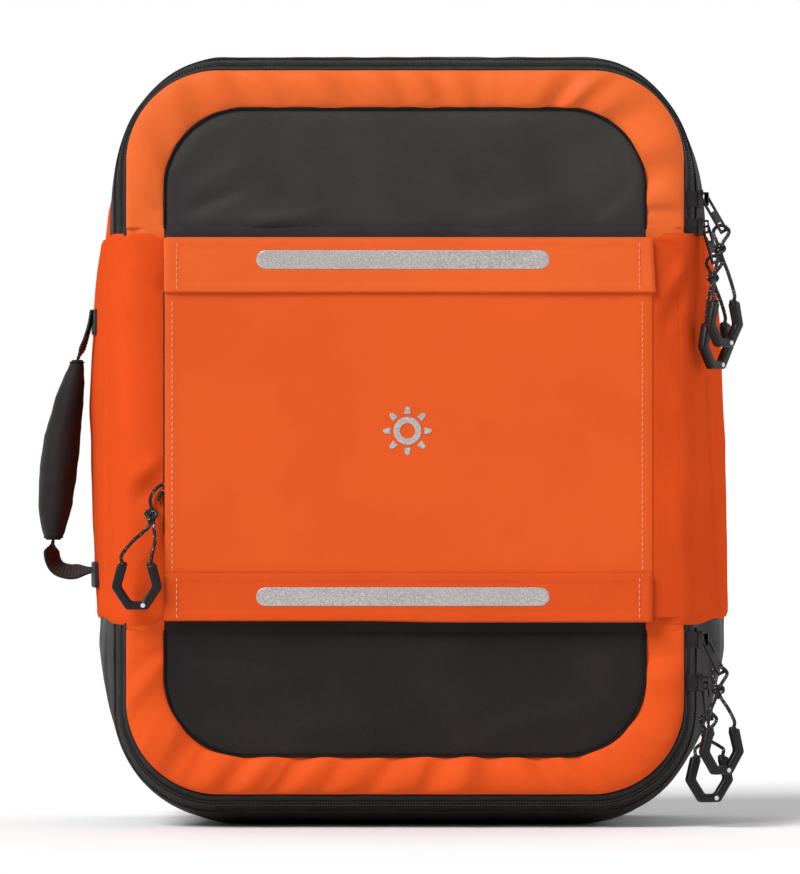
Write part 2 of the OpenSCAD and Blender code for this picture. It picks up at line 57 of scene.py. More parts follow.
VIEW_HEIGHT = 568.0    # mm seen from top to bottom at the front face
VIEW_DISTANCE = 5000.0
FRONT_Y = -95.0
AIM = (-5.8, 254.0)    # x and z at the middle of the picture


def make_camera():
    """A long lens straight in front of the bag."""
    data = bpy.data.cameras.new("camera")
    camera = add_object("camera", data)
    camera.location = (AIM[0] * MM, (FRONT_Y - VIEW_DISTANCE) * MM, AIM[1] * MM)
    camera.rotation_euler = (math.radians(90), 0, 0)
    data.lens = data.sensor_width * VIEW_DISTANCE / VIEW_HEIGHT
    data.clip_end = 200
    bpy.context.scene.camera = camera


make_camera()

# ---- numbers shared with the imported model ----

# Front to back: y, half width, bottom, top, width and height of the lower corners, and width
# and height of the upper ones. Behind the zip the corners slump.
STATIONS = np.array([
    [-95, 181, 22, 492, 60, 60, 60, 60],
    [-72, 189.5, 9, 501.5, 64, 66, 70, 84],
    [-45, 199, 0, 501.5, 84, 108, 84, 140],
    [20, 206.5, 0, 499, 100, 145, 97, 172],
    [80, 199.5, 0, 495, 90, 100, 112, 112],
], float)
ZIP_Y = -84.0
ZIP_BACK = -72.0
BACK_Y = 80.0
BAND_LOW, BAND_HIGH = 135.0, 383.0
HINGE_HIGH, HINGE_LOW = 389.0, 129.0
BORDER = 25.0
SPLIT_Z = 259.0


def station(y, up=True):
    """Half width, end height and corner sizes at depth y, with the kinks rounded off."""
    near = y + np.linspace(-9, 9, 7)
    half, low, high, low_x, low_z, high_x, high_z = (
        float(np.mean(np.interp(near, STATIONS[:, 0], STATIONS[:, c]))) for c in range(1, 8))
    return (half, high, (high_x, high_z)) if up else (half, low, (low_x, low_z))


def corner_inset(y, z):
    """How far the upper corner has turned in from the side, at depth y and heights z."""
    _, high, (wide, tall) = station(y)
    rise = np.clip((z - (high - tall)) / tall, 0, 0.99)
    return wide * (1 - np.sqrt(1 - rise ** 2))


def smooth01(t):
    t = np.clip(t, 0, 1)
    return t * t * (3 - 2 * t)


def xyz(x, y, z):
    """Points from their coordinates. A single number stands for every point."""
    return np.stack(np.broadcast_arrays(x, y, z), -1)


def unit(v):
    return v / np.linalg.norm(v, axis=-1, keepdims=True)


def tangents(path):
    return unit(np.gradient(path, axis=0))


def distances(path):
    """How far along the path each of its points is."""
    return np.concatenate([[0], np.cumsum(np.linalg.norm(np.diff(path, axis=0), axis=1))])


# ---- noise ----


def lattice(i, j, k, seed):
    h = (i * 374761393 + j * 668265263 + k * 1442695041 + seed * 1274126177) & 0xFFFFFFFF
    h = ((h ^ (h >> 13)) * 1274126177) & 0xFFFFFFFF
    return ((h ^ (h >> 16)) & 0xFFFF) / 32767.5 - 1


def noise(p, size, seed=0):
    """Smooth noise from -1 to 1 at points p (..., 3), with features about size mm across."""
    q = np.asarray(p, float) / np.asarray(size, float)
    base = np.floor(q).astype(np.int64)
    f = smooth01(q - base)
    total = 0
    for corner in np.ndindex(2, 2, 2):
        weight = np.prod(np.where(corner, f, 1 - f), axis=-1)
        total = total + weight * lattice(*np.moveaxis(base + corner, -1, 0), seed)
    return total


def flat_noise(x, z, wide, tall, seed):
    """The same noise on an upright sheet."""
    return noise(xyz(x, 0, z), (wide, 1, tall), seed)


def crease(x, z, start, end, width, depth):
    """A soft fold along a line in the XZ plane."""
    span = np.subtract(end, start)
    length = np.linalg.norm(span)
    along = span / length
    dx, dz = x - start[0], z - start[1]
    t = dx * along[0] + dz * along[1]
    off = dz * along[0] - dx * along[1]
    fade = smooth01(t / (0.3 * length)) * smooth01((length - t) / (0.3 * length))
    return depth * np.exp(-(off / width) ** 2) * fade


# ---- mesh building ----


def ring_faces(rings, sides, closed=False):
    """Faces of a tube made of rings of points. An open tube gets a cap at each end."""
    faces = []
    for i in range(rings if closed else rings - 1):
        after = (i + 1) % rings
        for k in range(sides):
            beside = (k + 1) % sides
            faces.append((i * sides + k, i * sides + beside, after * sides + beside,
                          after * sides + k))
    if not closed:
        faces.append(tuple(range(sides - 1, -1, -1)))
        faces.append(tuple((rings - 1) * sides + k for k in range(sides)))
    return faces


def edit_mesh(mesh, change):
    """Makes a change to the mesh while it is in edit form."""
    work = bmesh.new()
    work.from_mesh(mesh)
    change(work)
    work.to_mesh(mesh)
    work.free()


class Build:
    """Gathers vertices in mm and faces, and makes one object of them."""

    def __init__(self):
        self.verts, self.faces, self.slots = [], [], []

    def add(self, verts, faces):
        start = len(self.verts)
        self.verts.extend([tuple(v) for v in verts])
        self.faces.extend([tuple(i + start for i in f) for f in faces])
        self.slots.extend([0] * len(faces))

    def tube(self, path, radius, sides=10, closed=False, flat=1.0):
        """A round tube along the path. flat stretches it across."""
        path = np.asarray(path, float)
        n = len(path)
        tangent = unit(np.roll(path, -1, 0) - np.roll(path, 1, 0)) if closed else tangents(path)
        radius = np.broadcast_to(radius, n)
        side = np.cross(tangent[0], [0.21, 0.9, 0.36])
        verts = []
        for i in range(n):
            side = side - tangent[i] * np.dot(side, tangent[i])
            side /= np.linalg.norm(side)
            up = np.cross(tangent[i], side)
            for k in range(sides):
                a = 2 * math.pi * k / sides
                verts.append(path[i] + radius[i] * (math.cos(a) * side + flat * math.sin(a) * up))
        self.add(verts, ring_faces(n, sides, closed))

    def solid(self, outer, inner, inner_slot=None):
        """A closed sheet between two grids of points of the same size."""
        n, m = outer.shape[:2]
        off = n * m
        grid = [(i * m + j, (i + 1) * m + j, (i + 1) * m + j + 1, i * m + j + 1)
                for i in range(n - 1) for j in range(m - 1)]
        edge = ([i * m for i in range(n)] + [(n - 1) * m + j for j in range(1, m)]
                + [i * m + m - 1 for i in range(n - 2, -1, -1)] + list(range(m - 2, 0, -1)))
        hem = [(a, b, b + off, a + off) for a, b in zip(edge, edge[1:] + edge[:1])]
        back = [tuple(i + off for i in reversed(f)) for f in grid]
        verts = np.concatenate([outer.reshape(-1, 3), inner.reshape(-1, 3)])
        self.add(verts, grid + hem + back)
        if inner_slot is not None:
            self.slots[-len(back):] = [inner_slot] * len(back)

    def block(self, centre, axes, half):
        """A box with tapered top, for small repeated parts."""
        centre, axes = np.asarray(centre, float), np.asarray(axes, float)
        verts = []
        for c in (-1, 1):
            shrink = 1.0 if c < 0 else 0.72
            for a, b in ((-1, -1), (1, -1), (1, 1), (-1, 1)):
                verts.append(centre + axes[0] * a * half[0] * shrink
                             + axes[1] * b * half[1] * (shrink + 1) / 2 + axes[2] * c * half[2])
        self.add(verts, [(0, 3, 2, 1), (4, 5, 6, 7), (0, 1, 5, 4), (1, 2, 6, 5), (2, 3, 7, 6),
                         (3, 0, 4, 7)])

    def stitches(self, path, pitch=3.9, length=2.5, radius=0.36, lift=0.25, normal=(0, -1, 0)):
        """Short rounded stitches along a path, each sunk at its ends."""
        path = np.asarray(path, float)
        steps = distances(path)
        stations = np.array([-0.5, -0.3, 0, 0.3, 0.5]) * length
        heights = np.outer([-0.5, 0.6, 1, 0.6, -0.5], normal) * lift
        thickness = np.array([0.5, 0.95, 1, 0.95, 0.5]) * radius
        for s in np.arange(pitch / 2, steps[-1] - pitch / 2, pitch):
            points = np.stack([np.interp(s + stations, steps, column) for column in path.T], 1)
            self.tube(points + heights, thickness, 6)

    def make(self, name, materials, smooth=True, subdivide=0):
        """One object. materials are keys of MAT, and a second key is for the inner side."""
        mesh = bpy.data.meshes.new(name)
        mesh.from_pydata([(x * MM, y * MM, z * MM) for x, y, z in self.verts], [], self.faces)
        mesh.polygons.foreach_set("material_index", self.slots)
        edit_mesh(mesh, lambda work: bmesh.ops.recalc_face_normals(work, faces=work.faces))
        mesh.polygons.foreach_set("use_smooth", [smooth] * len(mesh.polygons))
        for material in materials.split():
            mesh.materials.append(MAT[material])
        piece = add_object(name, mesh)
        if subdivide:
            modifier = piece.modifiers.new("round", "SUBSURF")
            modifier.levels = modifier.render_levels = subdivide
            apply_modifiers(piece)
        sharp_edges(piece)
        return piece

    def put(self, name, materials, body, slot, *nodes, **options):
        """One object that rides on a body and stands for the CAD nodes."""
        return place(self.make(name, materials, **options), body, slot, *nodes)


def apply_modifiers(piece):
    graph = bpy.context.evaluated_depsgraph_get()
    graph.update()
    mesh = bpy.data.meshes.new_from_object(piece.evaluated_get(graph))
    piece.modifiers.clear()
    piece.data = mesh


def sharp_edges(piece, degrees=50):
    """Shading breaks at edges sharper than this."""
    limit = math.radians(degrees)

    def mark_edges(work):
        for edge in work.edges:
            if len(edge.link_faces) == 2 and edge.calc_face_angle(0) > limit:
                edge.smooth = False
    edit_mesh(piece.data, mark_edges)


def place(piece, body, slot, *nodes):
    """Says which body the piece rides on and the CAD nodes it stands for. slot, what it is made of,
    is not used.
    """
    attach(piece, body)
    if nodes:
        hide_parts(*nodes)
    return piece


BROAD_FACE = 150 * MM ** 2  # faces larger than this are shaded flat


def softened(node, name, body, slot, material, width, segments=3, turn=None):
    """A copy of a CAD node with its edges rounded, turned if asked."""
    mesh = NODES[node].data.copy()
    mesh.transform(NODES[node].matrix_world)
    if turn is not None:
        mesh.transform(turn)
    mesh.materials.clear()
    mesh.materials.append(MAT[material])

    def join_faces(work):
        bmesh.ops.remove_doubles(work, verts=work.verts, dist=1e-6)
        bmesh.ops.dissolve_limit(work, angle_limit=math.radians(1), verts=work.verts,
                                 edges=work.edges)
    edit_mesh(mesh, join_faces)
    mesh.polygons.foreach_set("material_index", [0] * len(mesh.polygons))
    mesh.polygons.foreach_set("use_smooth", [True] * len(mesh.polygons))
    piece = add_object(name, mesh)
    bevel = piece.modifiers.new("edges", "BEVEL")
    bevel.width = width * MM
    bevel.segments = segments
    bevel.limit_method = "ANGLE"
    bevel.angle_limit = math.radians(25)
    apply_modifiers(piece)
    sharp_edges(piece, 60)
    for face in piece.data.polygons:
        if face.area > BROAD_FACE:
            face.use_smooth = False
    return place(piece, body, slot, node)


# ---- materials ----


class Shader:
    """A material's node tree, with short calls for the nodes used here."""

    def __init__(self, name, roughness, **sockets):
        self.material = bpy.data.materials.new(name)
        self.material.use_nodes = True
        self.tree = self.material.node_tree
        self.surface = self.tree.nodes["Principled BSDF"]
        self.surface.inputs["Roughness"].default_value = roughness
        for socket, value in sockets.items():
            self.surface.inputs[socket.replace("_", " ")].default_value = value
        self.place = self.node("ShaderNodeTexCoord").outputs["Object"]

    def node(self, kind, **values):
        made = self.tree.nodes.new(kind)
        for key, value in values.items():
            setattr(made, key, value)
        return made

    def link(self, a, b):
        self.tree.links.new(a, b)

    def mapped(self, scale):
        made = self.node("ShaderNodeMapping")
        made.inputs["Scale"].default_value = scale
        self.link(self.place, made.inputs["Vector"])
        return made.outputs["Vector"]

    def wave(self, pitch, direction="DIAGONAL", flip=(1, 1, 1), distortion=0.0, detail=0.0):
        """Bands pitch mm apart, measured along the axis or the sum of the axes."""
        made = self.node("ShaderNodeTexWave", bands_direction=direction)
        made.inputs["Scale"].default_value = 2 * math.pi / (20 * pitch * MM)
        made.inputs["Distortion"].default_value = distortion
        made.inputs["Detail"].default_value = detail
        self.link(self.mapped(flip), made.inputs["Vector"])
        return made.outputs["Fac"]

    def noise(self, size, detail=3.0, stretch=(1, 1, 1)):
        made = self.node("ShaderNodeTexNoise")
        made.inputs["Scale"].default_value = 1 / (size * MM)
        made.inputs["Detail"].default_value = detail
        self.link(self.mapped(stretch), made.inputs["Vector"])
        return made.outputs["Fac"]

    def cells(self, size):
        made = self.node("ShaderNodeTexVoronoi")
        made.inputs["Scale"].default_value = 1 / (size * MM)
        self.link(self.place, made.inputs["Vector"])
        return made.outputs["Distance"]

    def ramp(self, value, stops):
        made = self.node("ShaderNodeValToRGB")
        stops = [(at, c if hasattr(c, "__len__") else (c, c, c, 1)) for at, c in stops]
        elements = made.color_ramp.elements
        for k, (at, colour) in enumerate(stops):
            element = elements[k] if k < 2 else elements.new(at)
            element.position, element.color = at, colour
        self.link(value, made.inputs["Fac"])
        return made.outputs["Color"]

    def math(self, operation, a, b):
        made = self.node("ShaderNodeMath", operation=operation)
        for k, value in enumerate((a, b)):
            if isinstance(value, (int, float)):
                made.inputs[k].default_value = value
            else:
                self.link(value, made.inputs[k])
        return made.outputs[0]

    def mix(self, factor, a, b, blend="MIX"):
        made = self.node("ShaderNodeMix", data_type="RGBA", blend_type=blend)
        for socket, value in ((made.inputs[0], factor), (made.inputs[6], a), (made.inputs[7], b)):
            if isinstance(value, (int, float, tuple)):
                socket.default_value = value
            else:
                self.link(value, socket)
        return made.outputs[2]

    def colour(self, value):
        if isinstance(value, tuple):
            self.surface.inputs["Base Color"].default_value = value
        else:
            self.link(value, self.surface.inputs["Base Color"])

    def rough(self, value):
        self.link(value, self.surface.inputs["Roughness"])

    def bump(self, *layers):
        """Each layer is (height, strength, depth in mm)."""
        below = None
        for height, strength, depth in layers:
            made = self.node("ShaderNodeBump")
            made.inputs["Strength"].default_value = strength
            made.inputs["Distance"].default_value = depth * MM
            self.link(height, made.inputs["Height"])
            if below is not None:
                self.link(below, made.inputs["Normal"])
            below = made.outputs["Normal"]
        self.link(below, self.surface.inputs["Normal"])


def shade(colour, factor):
    return (*(min(1, part * factor) for part in colour[:3]), 1)


def fabric(name, colour, pitch=1.5, weave=0.5, wrinkle=0.35, roughness=0.62, variation=0.08,
           contrast=0.16, gloss=0.12):
    """Twill: diagonal ribs crossed by fine threads, with uneven dye and small wrinkles."""
    s = Shader(name, roughness, Specular_IOR_Level=gloss)
    ribs = s.wave(pitch, distortion=0.6, detail=1.0)
    threads = s.wave(pitch * 0.72, flip=(1, -1, -1), distortion=0.4)
    woven = s.math("MULTIPLY_ADD", threads, 0.45)
    s.link(ribs, woven.node.inputs[2])
    patchy = s.ramp(s.noise(70, 4), [(0.3, shade(colour, 1 - variation)),
                                     (0.7, shade(colour, 1 + variation))])
    grain = s.ramp(woven, [(0.15, 1 - contrast), (1.0, 1.0)])
    s.colour(s.mix(1.0, patchy, grain, "MULTIPLY"))
    s.rough(s.ramp(s.noise(25, 4), [(0.3, roughness - 0.07), (0.7, roughness + 0.08)]))
    s.bump((s.noise(9, 5), wrinkle, 0.9), (woven, weave, 0.25))
    return s.material


def coated(name, colour, wrinkle=0.35, gloss=0.05):
    """Coated polyester: almost smooth, with a very fine weave under the coating."""
    return fabric(name, colour, pitch=0.62, weave=0.12, wrinkle=wrinkle, roughness=0.6,
                  variation=0.04, contrast=0.05, gloss=gloss)


def webbing(name, colour, axis="Y", pitch=2.2, fleck=0.0):
    """Ribbed webbing: ribs along its length, crossed by fine weft threads."""
    s = Shader(name, 0.6, Specular_IOR_Level=0.25)
    ribs = s.wave(pitch, axis)
    weft = s.wave(1.3, flip=(1, 1, -1))
    woven = s.math("MULTIPLY_ADD", weft, 0.4)
    s.link(ribs, woven.node.inputs[2])
    worn = s.ramp(s.noise(12, 5), [(0.35, shade(colour, 0.7)), (0.75, shade(colour, 1.7))])
    if fleck:
        bright = s.ramp(s.noise(1.1, 1), [(0.655, 0.0), (0.69, fleck)])
        worn = s.mix(bright, worn, (0.6, 0.6, 0.6, 1))
    s.colour(worn)
    s.bump((woven, 0.7, 0.5))
    return s.material


def air_mesh(name, colour):
    """Knitted spacer mesh, with a hole in the middle of each cell."""
    s = Shader(name, 0.75, Sheen_Weight=0.1, Specular_IOR_Level=0.3)
    holes = s.cells(3.0)
    yarn = s.ramp(s.noise(40, 4), [(0.3, shade(colour, 0.8)), (0.7, shade(colour, 1.4))])
    # the holes are painted darker than the yarn: painted shade inside each hole
    s.colour(s.mix(1.0, yarn, s.ramp(holes, [(0.1, 0.25), (0.4, 1.0)]), "MULTIPLY"))
    s.bump((s.noise(14, 4), 0.3, 0.8), (s.ramp(holes, [(0.08, 0.0), (0.45, 1.0)]), 0.8, 0.5))
    return s.material


def plastic(name, colour, roughness=0.45, coat=0.0, gloss=0.5):
    """Moulded plastic with a fine grain."""
    s = Shader(name, roughness, Coat_Weight=coat, Specular_IOR_Level=gloss)
    s.colour(s.ramp(s.noise(18, 5), [(0.3, shade(colour, 0.75)), (0.75, shade(colour, 1.25))]))
    s.rough(s.ramp(s.noise(4, 5), [(0.3, roughness - 0.08), (0.75, roughness + 0.12)]))
    s.bump((s.noise(0.7, 3), 0.25, 0.08))
    return s.material


def metal(name, colour, roughness=0.35):
    """Enamelled metal, brushed up and down and a little worn."""
    s = Shader(name, roughness, Metallic=0.7)
    s.colour(s.ramp(s.noise(5, 6), [(0.3, shade(colour, 0.7)), (0.8, shade(colour, 1.5))]))
    s.rough(s.ramp(s.noise(3, 5, (1, 1, 6)), [(0.3, roughness - 0.1), (0.8, roughness + 0.15)]))
    s.bump((s.noise(0.5, 3), 0.2, 0.05))
    return s.material


def reflective(name):
    """Film of fine glass spheres: a grey with glints painted from bead to bead."""
    s = Shader(name, 0.38, Metallic=0.25, Coat_Weight=0.25)
    # painted glints: a fine speckle of bright and dark grey, one fleck for each bead
    bead_glints = s.ramp(s.noise(0.9, 2), [(0.35, (0.28, 0.25, 0.24, 1)), (0.5, (0.41, 0.37, 0.355, 1)),
                                     (0.68, (0.62, 0.59, 0.57, 1))])
    s.colour(s.mix(0.25, bead_glints, s.ramp(s.noise(30, 3), [(0.3, 0.32), (0.7, 0.46)])))
    s.bump((s.cells(0.9), 0.35, 0.12))
    return s.material


def thread(name, colour):
    """Twisted sewing thread."""
    s = Shader(name, 0.55, Sheen_Weight=0.3)
    s.colour(s.ramp(s.wave(0.5), [(0.2, shade(colour, 0.75)), (0.8, colour)]))
    s.bump((s.wave(0.5), 0.5, 0.1))
    return s.material


def solar_cell(name):
    """Dark silicon crossed by fine silver fingers and three wider bars."""
    s = Shader(name, 0.2, Coat_Weight=0.6, Metallic=0.2)
    fingers = s.ramp(s.wave(2.4, "Z"), [(0.93, 0.0), (0.985, 0.5)])
    bars = s.ramp(s.wave(22, "X"), [(0.988, 0.0), (0.994, 1.0)])
    silicon = s.ramp(s.noise(60, 5), [(0.3, (0.006, 0.010, 0.035, 1)),
                                      (0.7, (0.012, 0.022, 0.07, 1))])
    lines = s.math("MAXIMUM", fingers, bars)
    s.colour(s.mix(lines, silicon, (0.45, 0.47, 0.5, 1)))
    s.bump((s.cells(1.2), 0.15, 0.06))
    return s.material


MAT = {
    "cover": coated("orange_cover_fabric", (0.675, 0.090, 0.0158, 1)),
    # The strip fabric comes as a lit copy for the top strip and a darker copy for the bottom strip:
    # painted light above and painted shade below.
    "strip": coated("orange_strip_fabric", (0.70, 0.107, 0.022, 1)),
    "strip_painted_shade": coated("orange_strip_painted_shade", (0.62, 0.073, 0.0125, 1)),
    "wing": coated("orange_side_fabric", (0.65, 0.070, 0.0125, 1), wrinkle=0.5, gloss=0.0),
    "side": coated("orange_gusset_fabric", (0.78, 0.078, 0.009, 1), wrinkle=0.5, gloss=0.0),
    # The border and inset fabrics each come as a lit copy for the upper flap and a darker copy for
    # the lower flap: painted light above and painted shade below.
    "border": coated("orange_border_fabric", (0.70, 0.118, 0.0195, 1), wrinkle=0.5, gloss=0.16),
    "border_painted_shade": coated("orange_border_painted_shade", (0.70, 0.084, 0.0125, 1), wrinkle=0.5),
    "inset": fabric("black_twill_painted_light", (0.032, 0.026, 0.026, 1), pitch=1.05, weave=0.6,
                    wrinkle=0.5, contrast=0.3, variation=0.25, gloss=0.25, roughness=0.48),
    "inset_painted_shade": fabric("black_twill", (0.017, 0.0125, 0.0125, 1), pitch=1.05, weave=0.6,
                        wrinkle=0.5, contrast=0.3, variation=0.25, gloss=0.15, roughness=0.5),
    "base": fabric("black_base_fabric", (0.011, 0.0085, 0.0085, 1), pitch=1.2, weave=0.5,
                   wrinkle=0.8, roughness=0.5, variation=0.3, contrast=0.3, gloss=0.13),
    "lining": fabric("lining", (0.06, 0.06, 0.065, 1), pitch=1.0, weave=0.2, wrinkle=0.8,
                     roughness=0.5, variation=0.1, contrast=0.1),
    "tape": webbing("zip_tape", (0.013, 0.010, 0.009, 1), "Y", 1.1),
    "webbing_y": webbing("webbing_across_y", (0.016, 0.013, 0.013, 1), "Y", 2.0),
    "webbing_x": webbing("webbing_across_x", (0.014, 0.012, 0.012, 1), "X", 2.0),
    "cord": webbing("flecked_cord", (0.012, 0.010, 0.010, 1), "DIAGONAL", 1.2, fleck=0.75),
    "mesh": air_mesh("air_mesh", (0.020, 0.018, 0.019, 1)),
    "handle": fabric("handle_fabric", (0.015, 0.0105, 0.0105, 1), pitch=0.8, weave=0.5,
                     wrinkle=0.7, contrast=0.2, variation=0.3, gloss=0.2),
    "piping": fabric("piping", (0.009, 0.007, 0.007, 1), pitch=0.9, weave=0.5, contrast=0.3),
    "coil": plastic("zip_coil", (0.010, 0.008, 0.007, 1), 0.38, 0.1),
    "grip": plastic("grip_plastic", (0.007, 0.006, 0.0065, 1), 0.42, 0.06, gloss=0.25),
    "buckle": plastic("buckle_plastic", (0.013, 0.013, 0.014, 1), 0.4),
    "case": plastic("case_plastic", (0.03, 0.03, 0.033, 1), 0.5),
    "laminate": plastic("laminate", (0.014, 0.015, 0.018, 1), 0.3, 0.4),
    "metal": metal("black_enamel", (0.030, 0.027, 0.027, 1)),
    "reflective": reflective("reflective_film"),
    "stitch": thread("pale_thread", (0.8714, 0.3419, 0.162, 1)),
    "stitch_dark": thread("dark_thread", (0.03, 0.026, 0.026, 1)),
    "dot": plastic("white_mark", (0.6, 0.6, 0.6, 1), 0.5),
    "cell": solar_cell("solar_cell"),
    "cable": plastic("cable_jacket", (0.012, 0.012, 0.012, 1), 0.45),
}

# ---- the bag's outline as a path ----


def rim(half, end, corner_size, start, up, counts):
    """From the left side at height start, round the top (or bottom), down the right side."""
    sign = 1 if up else -1
    vertical, corner, across = counts
    wide, tall = corner_size
    tall = min(tall, abs(end - start) - 2)
    turn = end - sign * tall
    a = np.radians(np.linspace(0, 90, corner))
    z_side = np.linspace(start, turn, vertical)
    x_top = np.linspace(-half + wide, half - wide, across)[1:-1]
    left = np.stack([np.full(vertical - 1, -half), z_side[:-1]], 1)
    left_arc = np.stack([-half + wide - wide * np.cos(a), turn + sign * tall * np.sin(a)], 1)
    top = np.stack([x_top, np.full(len(x_top), end)], 1)
    right_arc = left_arc[::-1] * [-1, 1]
    right = left[::-1] * [-1, 1]
    points = np.concatenate([left, left_arc, top, right_arc, right])
    out_left = np.tile([-1.0, 0.0], (vertical - 1, 1))
    out_arc = unit(np.stack([-np.cos(a) * tall, sign * np.sin(a) * wide], 1))
    out_top = np.tile([0.0, float(sign)], (len(x_top), 1))
    normals = np.concatenate([out_left, out_arc, out_top, out_arc[::-1] * [-1, 1],
                              out_left * [-1, 1]])
    return points, normals


def swell(p):
    """The right side leans out towards the base and in towards the top; the left one bulges."""
    deep = smooth01((p[..., 1] - ZIP_BACK) / 45)
    lean = np.interp(p[..., 2], [50, 140, 250, 380, 430, 490], [0, 3.5, 1.5, -4, -6, -3])
    p[..., 0] += deep * lean * np.clip(p[..., 0] / 180, 0, 1)
    bulge = np.interp(p[..., 2], [60, 140, 165, 215, 275, 320, 345, 385],
                      [-2, -1.5, 0, 2.0, 3.2, 1.2, 0.5, 0])
    p[..., 0] -= deep * bulge * np.clip(-p[..., 0] / 180, 0, 1)
    return p


FRONT_SHIFT = 2.5  # the clamshell front sits this far to the left of the bag's middle


def front_shift(y):
    """How far the bag is moved sideways at depth y."""
    return -FRONT_SHIFT * smooth01((-50 - np.asarray(y)) / 25)


def side_grid(ys, start, up, counts, offset):
    """Points on the bag's side at each depth: the outline's points by the depths."""
    columns, normals = [], []
    for y in ys:
        points, out = rim(*station(y, up), start, up, counts)
        columns.append(xyz(points[:, 0] + front_shift(y), y, points[:, 1]))
        normals.append(xyz(out[:, 0], 0, out[:, 1]))
    p, n = np.stack(columns, 1), np.stack(normals, 1)
    return p + n * offset(p, n)[..., None], n


# points up a side, round a corner and across the top
SIDE_COUNTS = (34, 22, 56)
RIM_COUNTS = (34, 40, 110)

# ---- side fabric ----


def gusset_folds(p):
    """Filled fabric between two seams: it bulges, sags and creases along the bag."""
    t = (p[..., 1] - ZIP_BACK) / (BACK_Y - ZIP_BACK)
    bulge = 2.2 * np.sin(np.pi * np.clip(t, 0, 1))
    loose = 1.4 * noise(p, (80, 50, 80), 3) + 0.9 * noise(p, (26, 60, 26), 7)
    low = smooth01((150 - p[..., 2]) / 60)
    loose = loose + low * 2.4 * noise(p, (150, 17, 110), 9)
    # a fold hangs beside the lower zip
    fold_y = -52 + 6 * noise(p, (70, 400, 70), 15)
    depth = low * (0.8 + 0.4 * noise(p, (50, 400, 50), 16))
    loose = loose + depth * (2.6 * np.exp(-((p[..., 1] - fold_y - 8) / 5) ** 2)
                             - 2.8 * np.exp(-((p[..., 1] - fold_y) / 3.5) ** 2))
    out = bulge + loose * np.sin(np.pi * np.clip(t, 0.02, 0.98))
    # held in where the band is drawn round it
    free = smooth01(np.maximum(BAND_LOW + 2 - p[..., 2], p[..., 2] - BAND_HIGH + 2) / 22)
    return out * free + np.minimum(out, 0.4) * (1 - free)


def make_gussets():
    """The side fabric of both halves, and piping along its seam with the back."""
    ys = np.linspace(ZIP_BACK + 0.2, BACK_Y + 0.2, 40)
    for up, half_name in ((True, "upper"), (False, "lower")):
        def offset(p, n, up=up):
            out = gusset_folds(p)
            # the top stays below the zip, and the base is flat on the floor
            flat = smooth01((np.abs(n[..., 2]) - 0.3) / 0.5)
            return out * (1 - flat) + np.minimum(out, 0) * 0.4 * flat
        start = SPLIT_Z + (0.15 if up else -0.15)
        outer, n = side_grid(ys, start, up, SIDE_COUNTS, offset)
        outer = swell(outer)
        outer[..., 2] = np.maximum(outer[..., 2], 0.0)
        build = Build()
        build.solid(outer, outer - 4.0 * n, 1)
        build.put(f"{half_name}_side_fabric", "side lining" if up else "base lining", "bag",
                  "orange_fabric" if up else "dark_fabric", f"gusset_{half_name}")
        # piping along the seam with the back panel
        half, end, corner = station(BACK_Y, up)
        points, _ = rim(half + 0.6, end + (0.6 if up else 1.6), corner, start, up, SIDE_COUNTS)
        build = Build()
        build.tube(swell(xyz(points[:, 0], BACK_Y + 0.4, points[:, 1])), 1.6, 8)
        build.put(f"{half_name}_back_piping", "piping", "bag", "dark_fabric")


make_gussets()

# ---- long zips ----


COIL_PITCH = 1.8


def zip_half(which, up, outer):
    """Woven tape and a coil of teeth that mesh with the other half's."""
    sign = 1 if up else -1
    hinge = HINGE_HIGH if up else HINGE_LOW
    start = hinge + sign * (-7.0 if outer else -4.0)
    low_y, high_y = (ZIP_Y + 0.2, ZIP_BACK) if outer else (-93.5, ZIP_Y - 0.2)
    ys = np.linspace(low_y, high_y, 5)
    top, n = side_grid(ys, start, up, RIM_COUNTS,
                       lambda p, n: 0.25 * noise(p, (9, 6, 9), 11))
    build = Build()
    build.solid(top, top - 1.1 * n)
    seam = ZIP_Y + (1.7 if outer else -1.7)
    points, out = rim(*station(seam, up), start, up, (60, 60, 200))
    steps = distances(points)
    coil = Build()
    for s in np.arange(COIL_PITCH * (0.5 if outer else 1.0), steps[-1] - 0.8, COIL_PITCH):
        x, z, nx, nz = (np.interp(s, steps, column) for column in (*points.T, *out.T))
        normal = unit(np.array([nx, 0, nz]))
        along = np.array([-normal[2], 0, normal[0]])
        centre = np.array([x + front_shift(seam), seam, z]) + normal * 0.6
        coil.block(centre, (along, (0, 1, 0), normal), (0.5, 1.6, 0.65))
    body = "bag" if outer else f"{which}_flap"
    half_name = "outer" if outer else "inner"
    build.put(f"{which}_zip_tape_{half_name}", "tape", body, "zip", f"{which}_zip_{half_name}")
    coil.put(f"{which}_zip_coil_{half_name}", "coil", body, "zip", smooth=False)


def zip_binding(which, up):
    """Black tape sewn over the side fabric's front edge."""
    start = (BAND_HIGH + 1) if up else (BAND_LOW - 1)
    top, n = side_grid(np.linspace(ZIP_BACK - 0.6, -60, 9), start, up, RIM_COUNTS,
                       lambda p, n: 1.0 + 0.3 * noise(p, (14, 8, 14), 13))
    build = Build()
    build.solid(top, top - 0.9 * n)
    build.put(f"{which}_zip_binding", "tape", "bag", "zip")


for which, up in (("upper", True), ("lower", False)):
    zip_half(which, up, True)
    zip_half(which, up, False)
    zip_binding(which, up)

# ---- panels ----


